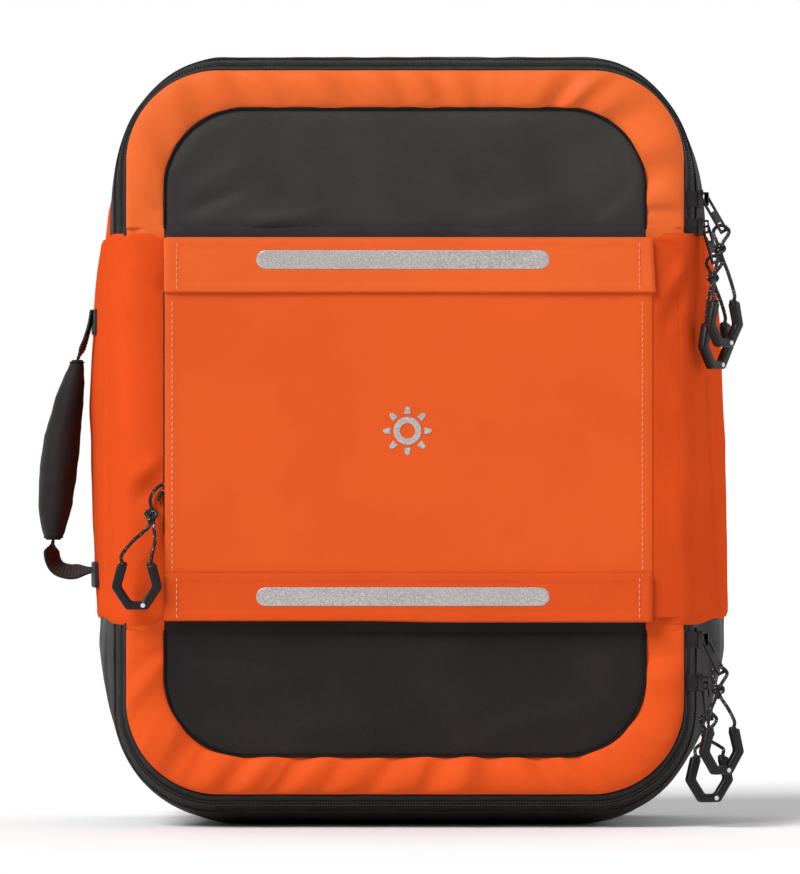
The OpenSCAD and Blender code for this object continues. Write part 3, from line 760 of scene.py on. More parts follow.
def panel_rows(x0, x1, z0, z1, r_low, r_high, columns, rows):
    """A grid that fills a rectangle with rounded corners, and each point's distance to its edge."""
    half, middle = (x1 - x0) / 2, (x0 + x1) / 2
    even = np.linspace(0, 1, rows)
    z = z0 + (z1 - z0) * (0.65 * even + 0.35 * (1 - np.cos(np.pi * even)) / 2)
    reach = np.full(rows, half)
    if r_high:
        d = np.clip(z - (z1 - r_high), 0, r_high)
        reach = reach - r_high + np.sqrt(r_high ** 2 - d ** 2)
    if r_low:
        d = np.clip((z0 + r_low) - z, 0, r_low)
        reach = reach - r_low + np.sqrt(r_low ** 2 - d ** 2)
    u = np.sin(np.linspace(-1, 1, columns) * np.pi / 2) * 0.4 + np.linspace(-1, 1, columns) * 0.6
    x = middle + reach[:, None] * u[None, :]
    zz = np.repeat(z[:, None], columns, 1)
    radius = np.where(zz > (z0 + z1) / 2, r_high, r_low)
    qx = np.abs(x - middle) - (half - radius)
    qz = np.abs(zz - (z0 + z1) / 2) - ((z1 - z0) / 2 - radius)
    outside = np.hypot(np.maximum(qx, 0), np.maximum(qz, 0))
    edge = -(outside + np.minimum(np.maximum(qx, qz), 0) - radius)
    return x, zz, np.maximum(edge, 0)


def panel(build, box, radii, face, back, facing=-1, drop=1.5, margin=4.0, relief=None,
          size=(60, 40), inner_slot=None):
    """A soft panel: face and back are its depths, and drop is how far its edge turns down."""
    x, z, edge = panel_rows(*box, *radii, *size)
    y = face(x, z) if callable(face) else face
    y = y - facing * drop * np.maximum(0, 1 - edge / margin) ** 2
    if relief is not None:
        y = y + facing * relief(x, z, edge)
    build.solid(xyz(x, y, z), xyz(x, back(x, z) if callable(back) else back, z), inner_slot)


# ---- front flaps ----

BORDER_PROFILE = [  # distance in from the edge, and depth
    (0.0, -92.6), (-0.5, -94.6), (0.3, -96.6), (2.5, -98.4), (6.5, -99.7), (11.5, -100.2),
    (16.5, -99.6), (21.0, -98.4), (24.0, -97.0), (25.0, -95.8),
]
INSET_RADIUS = 52.0
LOW_CROWN = -97.2  # depth of the border where it lies flat and turns under the band
FLAP_CREASES = {  # start, end, width and depth
    "upper": [((-152, 398), (-104, 418), 5, -1.8), ((-150, 408), (-96, 436), 7, 1.6),
              ((-110, 392), (-40, 402), 5, 1.2), ((148, 420), (112, 394), 6, -1.3),
              ((30, 392), (110, 408), 6, 1.0)],
    "lower": [((-150, 122), (-60, 104), 7, -1.5), ((-90, 60), (20, 72), 9, 1.1),
              ((40, 60), (130, 78), 8, 1.3)],
}


def border_grid(up, start):
    """The border's outer face: the flap's outline by the points of its profile."""
    half, low, high, radius = STATIONS[0, 1:5]
    end = high if up else low
    sign = 1 if up else -1
    rows = []
    for d, y in BORDER_PROFILE:
        corner = radius - (radius - INSET_RADIUS) * d / BORDER
        points, _ = rim(half - d, end - sign * d, (corner, corner), start, up, RIM_COUNTS)
        rise = smooth01((np.abs(points[:, 1] - start) - 2) / 26)
        depth = LOW_CROWN + (y - LOW_CROWN) * rise if y < LOW_CROWN else y
        rows.append(xyz(points[:, 0] - FRONT_SHIFT, depth, points[:, 1]))
    return np.stack(rows, 1)


def pucker(p, up):
    """Soft gathers across the border, drawn in by its inner seam."""
    n_across = p.shape[1]
    s = distances(p[:, n_across // 2])
    t = np.linspace(0, 1, n_across)
    slant = s[:, None] + 22 * (t[None, :] - 0.5) * np.sin(s[:, None] / 61 + 1)
    seed = 21 if up else 23

    def gathers(length, layer):
        return noise(xyz(slant / length, t * 0.5, layer), 1, seed)
    strength = np.interp(t, [0, 0.12, 0.3, 0.75, 0.97, 1], [0, 0.35, 0.8, 1.0, 0.7, 0])
    drawn = np.sin(slant / 5.4 + 3.0 * gathers(55, 5)) * (1.0 + 0.5 * gathers(40, 9))
    folds = 1.6 * drawn + 1.8 * gathers(14, 0) - 1.8 * np.abs(gathers(15, 7)) ** 0.7 + 0.8
    ends = smooth01((np.minimum(s, s[-1] - s) - 3) / 14)
    return folds * strength[None, :] * ends[:, None]


def cloth_waves(seed, depth, edge_free=10.0):
    """A relief of long and short waves that die out at the panel's edge."""
    def relief(x, z, edge):
        waves = flat_noise(x, z, 70, 45, seed) + 0.5 * flat_noise(x, z, 30, 24, seed + 1)
        return smooth01(edge / edge_free) * depth * waves
    return relief


FLAP_BACK = -92.3


def make_flap(which, up):
    """Gathered border, twill inset with piping, and the folds on the hinge line."""
    body = f"{which}_flap"
    sign = 1 if up else -1
    hinge = HINGE_HIGH if up else HINGE_LOW
    start = hinge + sign * 0.5
    half, low, high = STATIONS[0, 1:4]
    outer = border_grid(up, start)
    outer[..., 1] -= pucker(outer, up)
    build = Build()
    build.solid(outer, xyz(outer[..., 0], FLAP_BACK, outer[..., 2]), 1)
    # the lower flap takes the darker copies of its border and inset fabrics: painted shade, as the
    # light falls from above
    border, cloth = ("border", "inset") if up else ("border_painted_shade", "inset_painted_shade")
    build.put(f"{which}_border", f"{border} lining", body, "orange_border", f"{which}_flap_border",
              subdivide=1)

    inset = half - BORDER - 0.2
    left, right = -inset - FRONT_SHIFT, inset - FRONT_SHIFT
    box = ((left, right, start, high - BORDER - 0.2) if up
           else (left, right, low + BORDER + 0.2, start))
    waves = cloth_waves(31 if up else 41, 1.5)

    def relief(x, z, edge):
        return waves(x, z, edge) + sum(crease(x, z, *fold) for fold in FLAP_CREASES[which])

    build = Build()
    panel(build, box, (0, INSET_RADIUS) if up else (INSET_RADIUS, 0), -96.9, -92.2,
          drop=0.8, margin=5, relief=relief, size=(90, 40), inner_slot=1)
    build.put(f"{which}_inset", f"{cloth} lining", body, "dark_fabric", f"{which}_flap_inset")

    points, _ = rim(inset + 0.4, (high if up else low) - sign * (BORDER - 0.4),
                    (INSET_RADIUS, INSET_RADIUS), start, up, RIM_COUNTS)
    build = Build()
    build.tube(xyz(points[:, 0] - FRONT_SHIFT, -97.0, points[:, 1]), 0.9, 8)
    build.put(f"{which}_inset_piping", "piping", body, "dark_fabric")

    # the folds of fabric that the flap turns on
    z0, z1 = (BAND_HIGH - 1, HINGE_HIGH + 2.5) if up else (HINGE_LOW - 2.5, BAND_LOW + 1)
    for name, spans, material, slot in (
            ("dark", [(left - 0.4, right + 0.4)], cloth, "dark_fabric"),
            ("orange", [(-half - FRONT_SHIFT, left - 0.6), (right + 0.6, half - FRONT_SHIFT)],
             border, "orange_border")):
        def lift(x, z, base=-96.5 if name == "dark" else -97.3):
            # it turns back with the bag's front corner
            return base + 3.0 * smooth01((np.abs(x) - 170) / 12)
        build = Build()
        for x0, x1 in spans:
            panel(build, (x0, x1, z0, z1), (0, 0), lift, lambda x, z: lift(x, z) + 1.2,
                  drop=0.2, margin=1.0, size=(int(20 + (x1 - x0) / 6), 14))
        piece = build.make(f"{which}_fold_{name}", material)
        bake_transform(piece)


make_flap("upper", True)
make_flap("lower", False)

# ---- walls that wrap the body: the band and the fixed front wall ----


WALL_THICK = 2.6


def rounded(path, passes):
    """The path with its corners rounded off, more with each pass."""
    path = np.array(path, float)
    for _ in range(passes):
        path[1:-1] = 0.25 * path[:-2] + 0.5 * path[1:-1] + 0.25 * path[2:]
    return path


def dense(path, step):
    """Points at even steps along the path."""
    path = np.asarray(path, float)
    s = distances(path)
    marks = np.linspace(0, s[-1], max(3, int(s[-1] / step)))
    return np.stack([np.interp(marks, s, column) for column in path.T], 1)


def wall(build, path, bottom, top, relief, rows, inner_slot=None):
    """A strip of fabric that stands along a path in the XY plane. Its outside is on the right.
    bottom and top are its heights, in all or at each point of the path."""
    out = tangents(path)
    n = xyz(out[:, 1], -out[:, 0], 0)
    z = bottom + (top - bottom) * np.linspace(0, 1, rows)[:, None] + np.zeros(len(path))
    p = xyz(path[:, 0], path[:, 1], z)
    for column, (x, y) in enumerate(path):
        p[:, column, 0] -= np.sign(x) * corner_inset(y, z[:, column])
    hem = np.minimum(z - bottom, top - z)
    rolled = np.maximum(0, 1 - hem / 2.5) ** 2 * 0.9
    outer = swell(p + n * (relief(p) - rolled)[..., None])
    build.solid(outer, outer - n * (WALL_THICK - rolled)[..., None], inner_slot)


def side_path(side, lift, front_from, y_end):
    """From the front round the front corner and back along the side."""
    # on the left it lies over the shifted front
    sides = [(side * (station(y)[0] + lift) + (front_shift(y) if side < 0 else 0), y)
             for y in np.linspace(-93, y_end, 60)]
    front = [(side * x, FRONT_Y - lift - 0.8 * (lift > 1))
             for x in np.linspace(front_from, 179, 16)]
    path = rounded(dense(front + sides, 3.0), 14)
    return path if side > 0 else path[::-1]


def band_path(side):
    return side_path(side, 3.0, 140, BACK_Y - 2)


def wing_face(x):
    """Depth of the right wing's face, where the band runs on to the front."""
    path = band_path(1)
    front = path[:np.argmax(path[:, 0] > 182)]
    return np.interp(x, front[:, 0], front[:, 1])


BAND_CREASES = {  # on the front, by side: start, end, width and depth
    1: [((183, 371), (156, 336), 6, 3.2), ((184, 356), (158, 318), 6.5, -2.4),
        ((160, 306), (182, 262), 8, 2.0), ((164, 230), (184, 176), 8, 1.8)],
    -1: [((-184, 370), (-158, 352), 5, 2.0), ((-159, 244), (-184, 222), 5.5, 2.8),
         ((-160, 230), (-182, 206), 5.5, -2.2)],
}
SEAM_HEIGHTS = (135, 212, 291, 370)
SEAM_DEPTHS = {1: (-45, -57, -66, -74), -1: (-52, -58, -60, -66)}


def wing_relief(p, side):
    """Soft folds in the band, and the seam down each side."""
    x, y, z = np.moveaxis(p, -1, 0)
    out = 0.9 * noise(p, (60, 60, 70), 51 + side) + 0.4 * noise(p, (30, 30, 18), 61 + side)
    front = smooth01((-94 - y) / 3)
    for fold in BAND_CREASES[side]:
        out = out + front * crease(x, z, *fold)
    seam_y = np.interp(z, SEAM_HEIGHTS, SEAM_DEPTHS[side])
    # the folds are held along the band's two edges
    out = out * (0.35 + 0.65 * np.clip((BAND_HIGH - z) / 14, 0, 1)
                 * np.clip((z - BAND_LOW) / 14, 0, 1))
    return (out - 1.2 * np.exp(-((y - seam_y) / 1.6) ** 2)
            + 0.9 * np.exp(-((y - seam_y - 4) / 2.5) ** 2))


def make_band(side):
    """One side of the band, from the front round to the back panel."""
    name = "right" if side > 0 else "left"
    path = band_path(side)
    x, y = path.T
    wavy = 1.1 * noise(xyz(x, y, 0), (28, 28, 28), side + 7)
    # it reaches further up and down where it covers the zips' ends
    over_zip = 3.2 * smooth01((-40 - y) / 40) * smooth01((np.abs(x) - 161) / 7)
    build = Build()
    wall(build, path, BAND_LOW + wavy - over_zip, BAND_HIGH + wavy + over_zip,
         lambda p: wing_relief(p, side), 90)
    build.put(f"band_wing_{name}", "wing", "bag", "orange_fabric", f"band_{name}")


make_band(-1)
make_band(1)


def make_front_wall():
    """The wall behind the cover, which also closes the front between the flaps."""
    left = side_path(-1, -0.1, 0, ZIP_BACK)
    right = side_path(1, -0.1, 0, ZIP_BACK)
    path = rounded(dense(np.concatenate([left, right[1:]]), 4.0), 2)

    def relief(p):
        return 0.25 * noise(p, (50, 50, 40), 71) - 0.3
    build = Build()
    wall(build, path, HINGE_LOW + 0.6, HINGE_HIGH - 0.6, relief, 60, inner_slot=1)
    build.put("fixed_front_wall", "base lining", "bag", "dark_fabric", "front_wall")


make_front_wall()

# ---- front cover ----

POCKET_SEAM = -153.0
COVER_HALF = 159.0
COVER_FACE = -106.2
COVER_BACK = -103.2
STRIP_FACE = -108.6
STRIP_BACK = COVER_FACE - 0.9
TOP_STRIP = (BAND_HIGH - 35.5, BAND_HIGH + 0.6)      # lower and upper edge
BOTTOM_STRIP = (BAND_LOW - 0.4, BAND_LOW + 31)
COVER_SEAMS = (-153.5, 151.5)
STRIP_SEAMS = (-150.5, 149.5)
REFLECTOR_ENDS = (-99, 91)
REFLECTOR_HALF = 6
REFLECTOR_HEIGHTS = (BAND_HIGH - 14, BAND_LOW + 15.5)


def cover_y(x, z):
    """The cover's outer face: shallow waves, pulled flat by its seams."""
    calm = smooth01((COVER_HALF - np.abs(x)) / 30)
    waves = 0.5 * flat_noise(x, z, 110, 70, 81) + 0.25 * flat_noise(x, z, 45, 30, 82)
    return COVER_FACE - calm * waves - 0.28 * np.exp(-((x - POCKET_SEAM) / 3.0) ** 2)


def strip_y(x, z):
    """The outer face of the cover's two strips."""
    return STRIP_FACE - 0.25 * flat_noise(x, z, 60, 60, 83)


def make_cover():
    """The cover's main panel and the strips over its top and bottom."""
    build = Build()
    panel(build, (-COVER_HALF + 0.6, COVER_HALF - 1.2, BAND_LOW + 1, BAND_HIGH - 1), (2, 2),
          cover_y, COVER_BACK, drop=0.9, margin=3.5, size=(110, 90), inner_slot=1)
    build.put("cover_main_panel", "cover lining", "front_cover", "orange_fabric", "cover_panel")
    # the bottom strip takes the darker copy of the strip fabric: painted shade, as the light falls
    # from above
    for name, cloth, (z0, z1) in (("top", "strip", TOP_STRIP),
                                  ("bottom", "strip_painted_shade", BOTTOM_STRIP)):
        build = Build()
        x, z, edge = panel_rows(-COVER_HALF, COVER_HALF - 1.0, z0, z1, 1.5, 1.5, 120, 26)
        if name == "top":
            x = x + smooth01((x - 120) / 40) * 2.2 * (z1 - z) / (z1 - z0)
        else:
            z = z - 0.9 * smooth01((x + 30) / 60) * (1 - (z - z0) / (z1 - z0))
        # folded hems stand a little proud along the edges, and the free edge curls forwards
        hem = 0.45 * smooth01((6.5 - edge) / 1.5)
        y = strip_y(x, z) - hem + 1.6 * np.maximum(0, 1 - edge / 1.2) ** 2
        build.solid(xyz(x, y, z), xyz(x, STRIP_BACK, z))
        build.put(f"cover_{name}_band", cloth, "front_cover", "orange_fabric",
                  f"cover_{name}_strip")


make_cover()


def make_cover_stitching():
    build = Build()
    z = np.linspace(BAND_LOW + 32, BAND_HIGH - 37, 60)
    for x in COVER_SEAMS:
        build.stitches(xyz(x, cover_y(x, z) - 0.1, z))
    for z0, z1 in ((BAND_HIGH - 34, BAND_HIGH), (BAND_LOW + 1, BAND_LOW + 30)):
        z = np.linspace(z0, z1, 12)
        for x in STRIP_SEAMS:
            build.stitches(xyz(x, strip_y(x, z) - 0.2, z))
    build.put("cover_stitches", "stitch", "front_cover", "orange_fabric")


make_cover_stitching()


def make_reflectors():
    build = Build()
    for height in REFLECTOR_HEIGHTS:
        x, z, edge = panel_rows(*REFLECTOR_ENDS, height - REFLECTOR_HALF, height + REFLECTOR_HALF,
                                5.9, 5.9, 90, 16)
        strip = strip_y(x, z)
        build.solid(xyz(x, strip - 0.55 + 0.35 * np.maximum(0, 1 - edge) ** 2, z),
                    xyz(x, strip + 0.2, z))
    build.put("reflective_bars", "reflective", "front_cover", "reflective_tape", "reflectors")


make_reflectors()


def make_emblem():
    """A plain sun: a ring and eight short rays, printed on the cover."""
    centre = np.array([-1.0, 258.0])
    ring, hole, steps, rays = 9.0, 5.0, 48, 8
    build = Build()

    def direction(angle):
        return np.array([math.cos(angle), math.sin(angle)])

    def plate(outline):
        x, z = (centre + outline).T
        y = cover_y(x, z)
        n = len(x)
        faces = [tuple(range(n)), tuple(range(2 * n - 1, n - 1, -1))]
        faces += [(k, (k + 1) % n, (k + 1) % n + n, k + n) for k in range(n)]
        build.add(np.concatenate([xyz(x, y - 0.35, z), xyz(x, y + 0.3, z)]), faces)

    for k in range(steps):
        start, end = direction(2 * math.pi * k / steps), direction(2 * math.pi * (k + 1) / steps)
        plate([ring * start, ring * end, hole * end, hole * start])
    for k in range(rays):
        along = direction(2 * math.pi * k / rays)
        across = np.array([-along[1], along[0]])
        plate([along * r + across * w
               for r, w in ((11, -2.1), (15, -1.5), (16, 0), (15, 1.5), (11, 2.1))])
    build.put("sun_emblem", "reflective", "front_cover", "reflective_tape", "emblem")


make_emblem()


def make_cover_fold():
    """The cover's sewn edge: fabric from the band round to the cover's back."""
    z = np.linspace(BAND_LOW + 2, BAND_HIGH - 2, 90)
    line = dense(rounded([(179, wing_face(179)), (174.5, wing_face(174.5) - 0.2), (169, -100.2),
                          (164.5, -102.0), (160.5, -103.8), (157, -104.9), (152, -104.7)], 1), 0.9)
    x, y = line.T
    p = xyz(x, y, z[:, None])
    tangent = tangents(line)
    n = xyz(-tangent[:, 1], tangent[:, 0], 0)
    relief = wing_relief(xyz(x, wing_face(x), z[:, None]), 1) * smooth01((x - 157) / 21)
    # its far edge sinks into the wing, so that the two run on as one
    sunk = 0.9 * smooth01((x - 175) / 4)
    p = p + n * (relief + 0.15 - sunk)[..., None]
    build = Build()
    build.solid(p, p - n)
    piece = build.make("cover_fold", "wing")
    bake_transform(piece)


make_cover_fold()

# ---- pocket zip under the cover's free edge ----

POCKET_PITCH = 2.4
POCKET_ZIP = (190, 372)  # its lower and upper end


def make_pocket_zip():
    """Two tapes, each with a row of teeth that stand between the other's."""
    for half_name, x0, x1, side in (("outer", -159.5, -153.2, -1), ("inner", -152.8, -143.5, 1)):
        build = Build()
        panel(build, (x0, x1, *POCKET_ZIP), (1, 1), -100.1, -98.6, drop=0.3, margin=1.0,
              relief=lambda x, z, edge: 0.15 * np.sin(z / 9), size=(8, 60))
        build.put(f"pocket_zip_tape_{half_name}", "tape", "bag", "zip", f"pocket_zip_{half_name}")
        coil = Build()
        first = POCKET_ZIP[0] + 2 + (POCKET_PITCH / 2 if side > 0 else 0)
        for z in np.arange(first, POCKET_ZIP[1] - 1, POCKET_PITCH):
            coil.block((POCKET_SEAM + side * 1.3, -100.7, z), ((0, 0, 1), (1, 0, 0), (0, -1, 0)),
                       (0.7, 1.5, 0.6))
        coil.put(f"pocket_zip_coil_{half_name}", "coil", "bag", "zip", smooth=False)


make_pocket_zip()

# ---- sliders, tabs, cords and grips ----

PULLS = {  # slider height, tab lean, knot, grip and its turn about the vertical
    "upper_a": (409, 30, (202, -95, 376), (204, -112, 327), 45),
    "upper_b": (391, 16, (198, -85, 357), (200, -82, 313), 50),
    "lower_a": (122, 26, (201, -94, 89), (202.5, -108, 50), 30),
    "lower_b": (94, 6, (194.5, -85, 60), (195.5, -86, 31), 20),
}
PIVOT_X = 193.1    # the axis on which the tabs swing
SLIDER_X = 184.6   # middle of the slider's lower half
TAB_LENGTH = 20.5
TAB_TURN = 48
CORD_RADIUS = 1.2
GRIP_LEG_X = 9.4
GRIP_TOP_Z = 14.5
GRIP_FOOT_Z = -12.0


def curve(points, spans=9):
    """Catmull-Rom curve through the points."""
    p = np.asarray(points, float)
    last = len(p) - 1
    out = []
    for i in range(last):
        a, b, c, d = p[max(i - 1, 0)], p[i], p[i + 1], p[min(i + 2, last)]
        for k in range(spans):
            t = k / spans
            out.append(0.5 * (2 * b + (c - a) * t + (2 * a - 5 * b + 4 * c - d) * t * t
                              + (3 * b - a - 3 * c + d) * t ** 3))
    out.append(p[last])
    return np.array(out)


def turned(v, yaw):
    """The vector turned about the vertical by yaw degrees."""
    c, s = math.cos(math.radians(yaw)), math.sin(math.radians(yaw))
    return np.array([v[0] * c - v[1] * s, v[0] * s + v[1] * c, v[2]])


def knot(build, at, yaw, size=1.2):
    """An overhand knot drawn up tight."""
    t = np.linspace(0, 2 * np.pi, 60, endpoint=False)
    loops = xyz(np.sin(t) + 2 * np.sin(2 * t), -np.sin(3 * t),
                1.15 * (np.cos(t) - 2 * np.cos(2 * t))) * size
    build.tube([at + turned(p, yaw) for p in loops], CORD_RADIUS * 1.15, 10, closed=True)


def trim_grip(name, body, grip_at, yaw):
    """A short sleeve where the cord enters each leg of the grip, and a round mark on its foot."""
    collars, mark = Build(), Build()
    for side in (-1, 1):
        top = grip_at + turned((side * (GRIP_LEG_X - 0.6), 0, GRIP_TOP_Z), yaw)
        collars.tube([top + (0, 0, h) for h in (-1.0, 0.6, 1.2, 1.6)], [2.7, 2.7, 2.3, 1.6], 14)
    collars.put(f"{name}_grip_collars", "grip", body, "grip_plastic")
    centre, front = grip_at + turned((4.0, -3.0, GRIP_FOOT_Z), yaw), turned((0, -1, 0), yaw)
    mark.tube([centre, centre + front * 0.25, centre + front * 0.35], [1.5, 1.5, 0.9], 14)
    mark.put(f"{name}_grip_mark", "dot", body, "grip_plastic")


def make_pull(name, z, lean, knot_at, grip_at, yaw):
    """A slider on a long zip with its tab, its knotted cord and its grip."""
    which, letter = name.split("_")
    body, slider = f"{which}_pull_{letter}", f"{which}_zip_slider_{letter}"
    lean = math.radians(lean)
    hole = np.array([PIVOT_X + TAB_LENGTH * math.sin(lean), ZIP_Y, z - TAB_LENGTH * math.cos(lean)])
    knot_at, grip_at = np.array(knot_at, float), np.array(grip_at, float)
    strand, loop = CORD_RADIUS + 0.15, 5.0
    lift = np.array([0, 0, 0.6])
    tops = [grip_at + turned((side * GRIP_LEG_X, 0, GRIP_TOP_Z + 1), yaw) for side in (-1, 1)]
    points = [
        tops[0], tops[0] + turned((-0.6, 0, 4), yaw),
        (tops[0] + knot_at) / 2 + turned((-2, 0, 0), yaw),
        knot_at + turned((-strand, 0, -3), yaw), knot_at + (-strand, 0, 3),
        hole + lift + (-loop, 0, -loop), hole + lift + (-loop * 0.7, 0, -loop * 0.3), hole + lift,
        hole + lift + (loop * 0.7, 0, -loop * 0.3), hole + lift + (loop, 0, -loop),
        knot_at + (strand, 0, 3), knot_at + turned((strand, 0, -3), yaw),
        (tops[1] + knot_at) / 2 + turned((2, 0, 0), yaw),
        tops[1] + turned((0.6, 0, 4), yaw), tops[1],
    ]
    build = Build()
    build.tube(curve(points), CORD_RADIUS, 12)
    knot(build, knot_at, yaw)
    build.put(f"{name}_pull_cord", "cord", body, "cord", f"{which}_cord_{letter}")
    softened(f"{which}_grip_{letter}", f"{name}_finger_grip", body, "grip_plastic", "grip", 1.7, 4)
    trim_grip(name, body, grip_at, yaw)
    # the tab hangs with its face turned partly to the front
    pivot = Vector((PIVOT_X, ZIP_Y, z)) * MM
    axis = Vector((math.sin(lean), 0, -math.cos(lean)))
    turn = (Matrix.Translation(pivot) @ Matrix.Rotation(math.radians(TAB_TURN), 4, axis)
            @ Matrix.Translation(-pivot))
    softened(f"{which}_tab_{letter}", f"{name}_metal_tab", f"{which}_pull_tab_{letter}",
             "slider_metal", "metal", 0.35, turn=turn)
    # the slider's lower half, which wraps the coil
    build = Build()
    build.block((SLIDER_X, ZIP_Y, z), ((0, 1, 0), (0, 0, 1), (1, 0, 0)), (4.4, 5.6, 3.6))
    build.put(f"{name}_slider_base", "metal", slider, "slider_metal", smooth=False)
    softened(f"{which}_slider_{letter}", f"{name}_slider_body", slider, "slider_metal", "metal",
             0.8)


for name, values in PULLS.items():
    make_pull(name, *values)


def make_pocket_pull():
    """The pocket's slider, the loop through it, and a grip on a knotted cord."""
    grip_at, knot_at = np.array([-176.2, -114.0, 157.0]), np.array([-167.0, -109.0, 203.0])
    softened("pocket_slider", "pocket_slider_body", "pocket_zip_slider", "slider_metal", "metal",
             0.5)
    softened("pocket_grip", "pocket_finger_grip", "pocket_pull", "grip_plastic", "grip", 1.7, 4)
    build = Build()
    build.tube(curve([(-166.5, -105, 207), (-168, -103, 213), (-165, -101.6, 219.5),
                      (-160, -101.6, 223), (-156.8, -101.6, 221), (-160, -101.6, 218.5),
                      (-163, -101.6, 212.5)]), CORD_RADIUS - 0.05, 12)
    build.put("pocket_loop_cord", "cord", "pocket_zip_slider", "cord", "pocket_cord_loop")
    build = Build()
    for side in (-1, 1):
        top = grip_at + (side * GRIP_LEG_X, 0, GRIP_TOP_Z + 1)
        middle = (top + knot_at) / 2 + (side * 2.4, 0.5, -1)
        build.tube(curve([top, top + (side * 0.4, 0, 5), middle,
                          knot_at + (side * 1.6, -0.5, -7), knot_at + (side * 1.4, 0, 1)]),
                   CORD_RADIUS, 12)
    knot(build, knot_at, 0)
    build.tube(curve([knot_at + (-1, 0, 3), knot_at + (0.5, 1.5, 5.5), knot_at + (0.5, 3.6, 5)]),
               CORD_RADIUS, 10)
    build.put("pocket_leg_cords", "cord", "pocket_pull", "cord", "pocket_cord_legs")
    trim_grip("pocket", "pocket_pull", grip_at, 0)


make_pocket_pull()

# ---- webbing, patches and the side handle ----


def ribbon(build, path, across, width, thick, ribs=0.0, pitch=2.4, columns=9):
    """Flat webbing along a path. across is the direction of its width, in all or at each point."""
    across = np.broadcast_to(np.asarray(across, float), path.shape)
    width = np.broadcast_to(width, len(path))
    normal = unit(np.cross(tangents(path), across))
    u = np.linspace(-1, 1, columns)
    profile = thick / 2 * (1 - 0.5 * np.abs(u) ** 6)
    rib = ribs * np.cos(2 * np.pi * distances(path) / pitch)
    mid = path[:, None] + across[:, None] * (u[:, None] * width[:, None, None] / 2)
    lift = normal[:, None] * (profile + rib[:, None] * (1 - np.abs(u) ** 4))[..., None]
    build.solid(mid + lift, mid - lift)


def bar(name, material, centre, right, up, size, nodes=(), cross=True):
    """A patch sewn to the bag with a box of stitches, crossed as a rule. size is width, height
    and thickness."""
    centre, right, up = (np.asarray(v, float) for v in (centre, right, up))
    out = np.cross(right, up)
    w, h, t = size
    x, z, edge = panel_rows(-w / 2, w / 2, -h / 2, h / 2, 2.0, 2.0, 26, 18)
    height = (t / 2 * (1 - 0.5 * np.maximum(0, 1 - edge / 1.5) ** 2)
              - 0.3 * np.exp(-((edge - 3) / 0.8) ** 2))
    flat = centre + x[..., None] * right + z[..., None] * up
    build = Build()
    build.solid(flat + out * height[..., None], flat - out * (t / 2))
    build.put(name, material, "bag", "black_webbing", *nodes)
    a, b = w / 2 - 3, h / 2 - 3
    corners = [(-a, -b), (a, -b), (a, b), (-a, b)]
    lines = list(zip(corners, corners[1:] + corners[:1]))
    if cross:
        lines += [(corners[0], corners[2]), (corners[3], corners[1])]
    build = Build()
    for start, end in lines:
        path = [centre + right * p[0] + up * p[1] + out * (t / 2 - 0.25)
                for p in np.linspace(start, end, 4)]
        build.stitches(path, 2.6, 2.0, 0.32, 0.2, out)
    build.put(f"{name}_stitches", "stitch_dark", "bag", "black_webbing")


HANDLE_Y = -8.0
GRIP_LOW, GRIP_HIGH = 186.0, 305.0  # ends of the padded grip
GRIP_HALF = (12.6, 16.0)            # half its width and depth at its fullest
HANDLE_PATH = [
    (-209.4, 338), (-210.6, 330), (-213.2, 320), (-216, 312), (-220.5, 300), (-225, 275),
    (-228.5, 245), (-232, 213), (-235, 187), (-236, 176), (-232.5, 168), (-225, 165),
    (-218, 165.3), (-209.4, 166),
]


def make_handle():
    """Ribbed webbing from patch to patch, with a padded grip round its middle."""
    path = curve([(x, HANDLE_Y, z) for x, z in HANDLE_PATH], 16)
    build = Build()
    fine = dense(path, 0.55)
    height = fine[:, 2]
    # narrow inside the grip, wide outside it, and twisted a little forwards there
    below = smooth01((GRIP_LOW - height) / 8)
    above = smooth01((height - GRIP_HIGH) / 8)
    near_grip = np.maximum(below, above)
    from_patch = smooth01((-fine[:, 0] - 209) / 12)
    width = 5 + near_grip * (3 + 14 * from_patch)
    twist = np.radians(24) * below + np.radians(10) * above
    side = np.cross(tangents(fine), (0, 1, 0))
    across = np.cos(twist)[:, None] * np.array([0, 1.0, 0]) + np.sin(twist)[:, None] * side
    ribbon(build, fine, across, width, 2.0, ribs=0.26, pitch=2.2, columns=13)
    build.put("handle_ribbed_webbing", "webbing_y", "side_handle", "black_webbing",
              "handle_webbing")

    rings, around = 70, 44
    s = np.linspace(0, 1, rings)
    fill = 0.2 + 0.8 * np.sin(np.pi * (0.01 + 0.98 * s) ** 0.78) ** 0.62
    centre_x = -235 + 16.0 * s - 3.0 * np.sin(np.pi * s)
    z = GRIP_LOW + (GRIP_HIGH - GRIP_LOW) * s
    a = np.linspace(0, 2 * np.pi, around, endpoint=False)
    p = xyz(centre_x[:, None] + GRIP_HALF[0] * fill[:, None] * np.cos(a),
            HANDLE_Y + GRIP_HALF[1] * fill[:, None] * np.sin(a), z[:, None])
    wrinkle = 0.5 * noise(p, (14, 14, 9), 91) + 0.25 * noise(p, (6, 6, 5), 92)
    seam = -0.9 * np.exp(-((a - np.pi / 2) / 0.07) ** 2)
    out = xyz(np.cos(a), np.sin(a), 0)
    ends = smooth01(np.minimum(s, 1 - s) / 0.05)[:, None]
    p = p + out * ((wrinkle + seam) * ends)[..., None]
    build = Build()
    build.add(p.reshape(-1, 3), ring_faces(rings, around))
    grip = build.put("handle_padded_grip", "handle", "side_handle", "dark_fabric", "handle_grip")
    build = Build()
    for ring in (1, rings - 2):
        build.tube(p[ring] + out * 0.2, 0.6, 8, closed=True)
    build.put("handle_grip_bindings", "piping", "side_handle", "dark_fabric")
    lean = math.radians(7)
    for name, z, nodes in (("upper", 330, ["anchor_patches"]), ("lower", 163, [])):
        bar(f"handle_{name}_patch", "webbing_y", (-207.6, HANDLE_Y, z),
            (math.sin(lean), -math.cos(lean), 0), (0, 0, 1), (28, 17, 2.6), nodes)


make_handle()

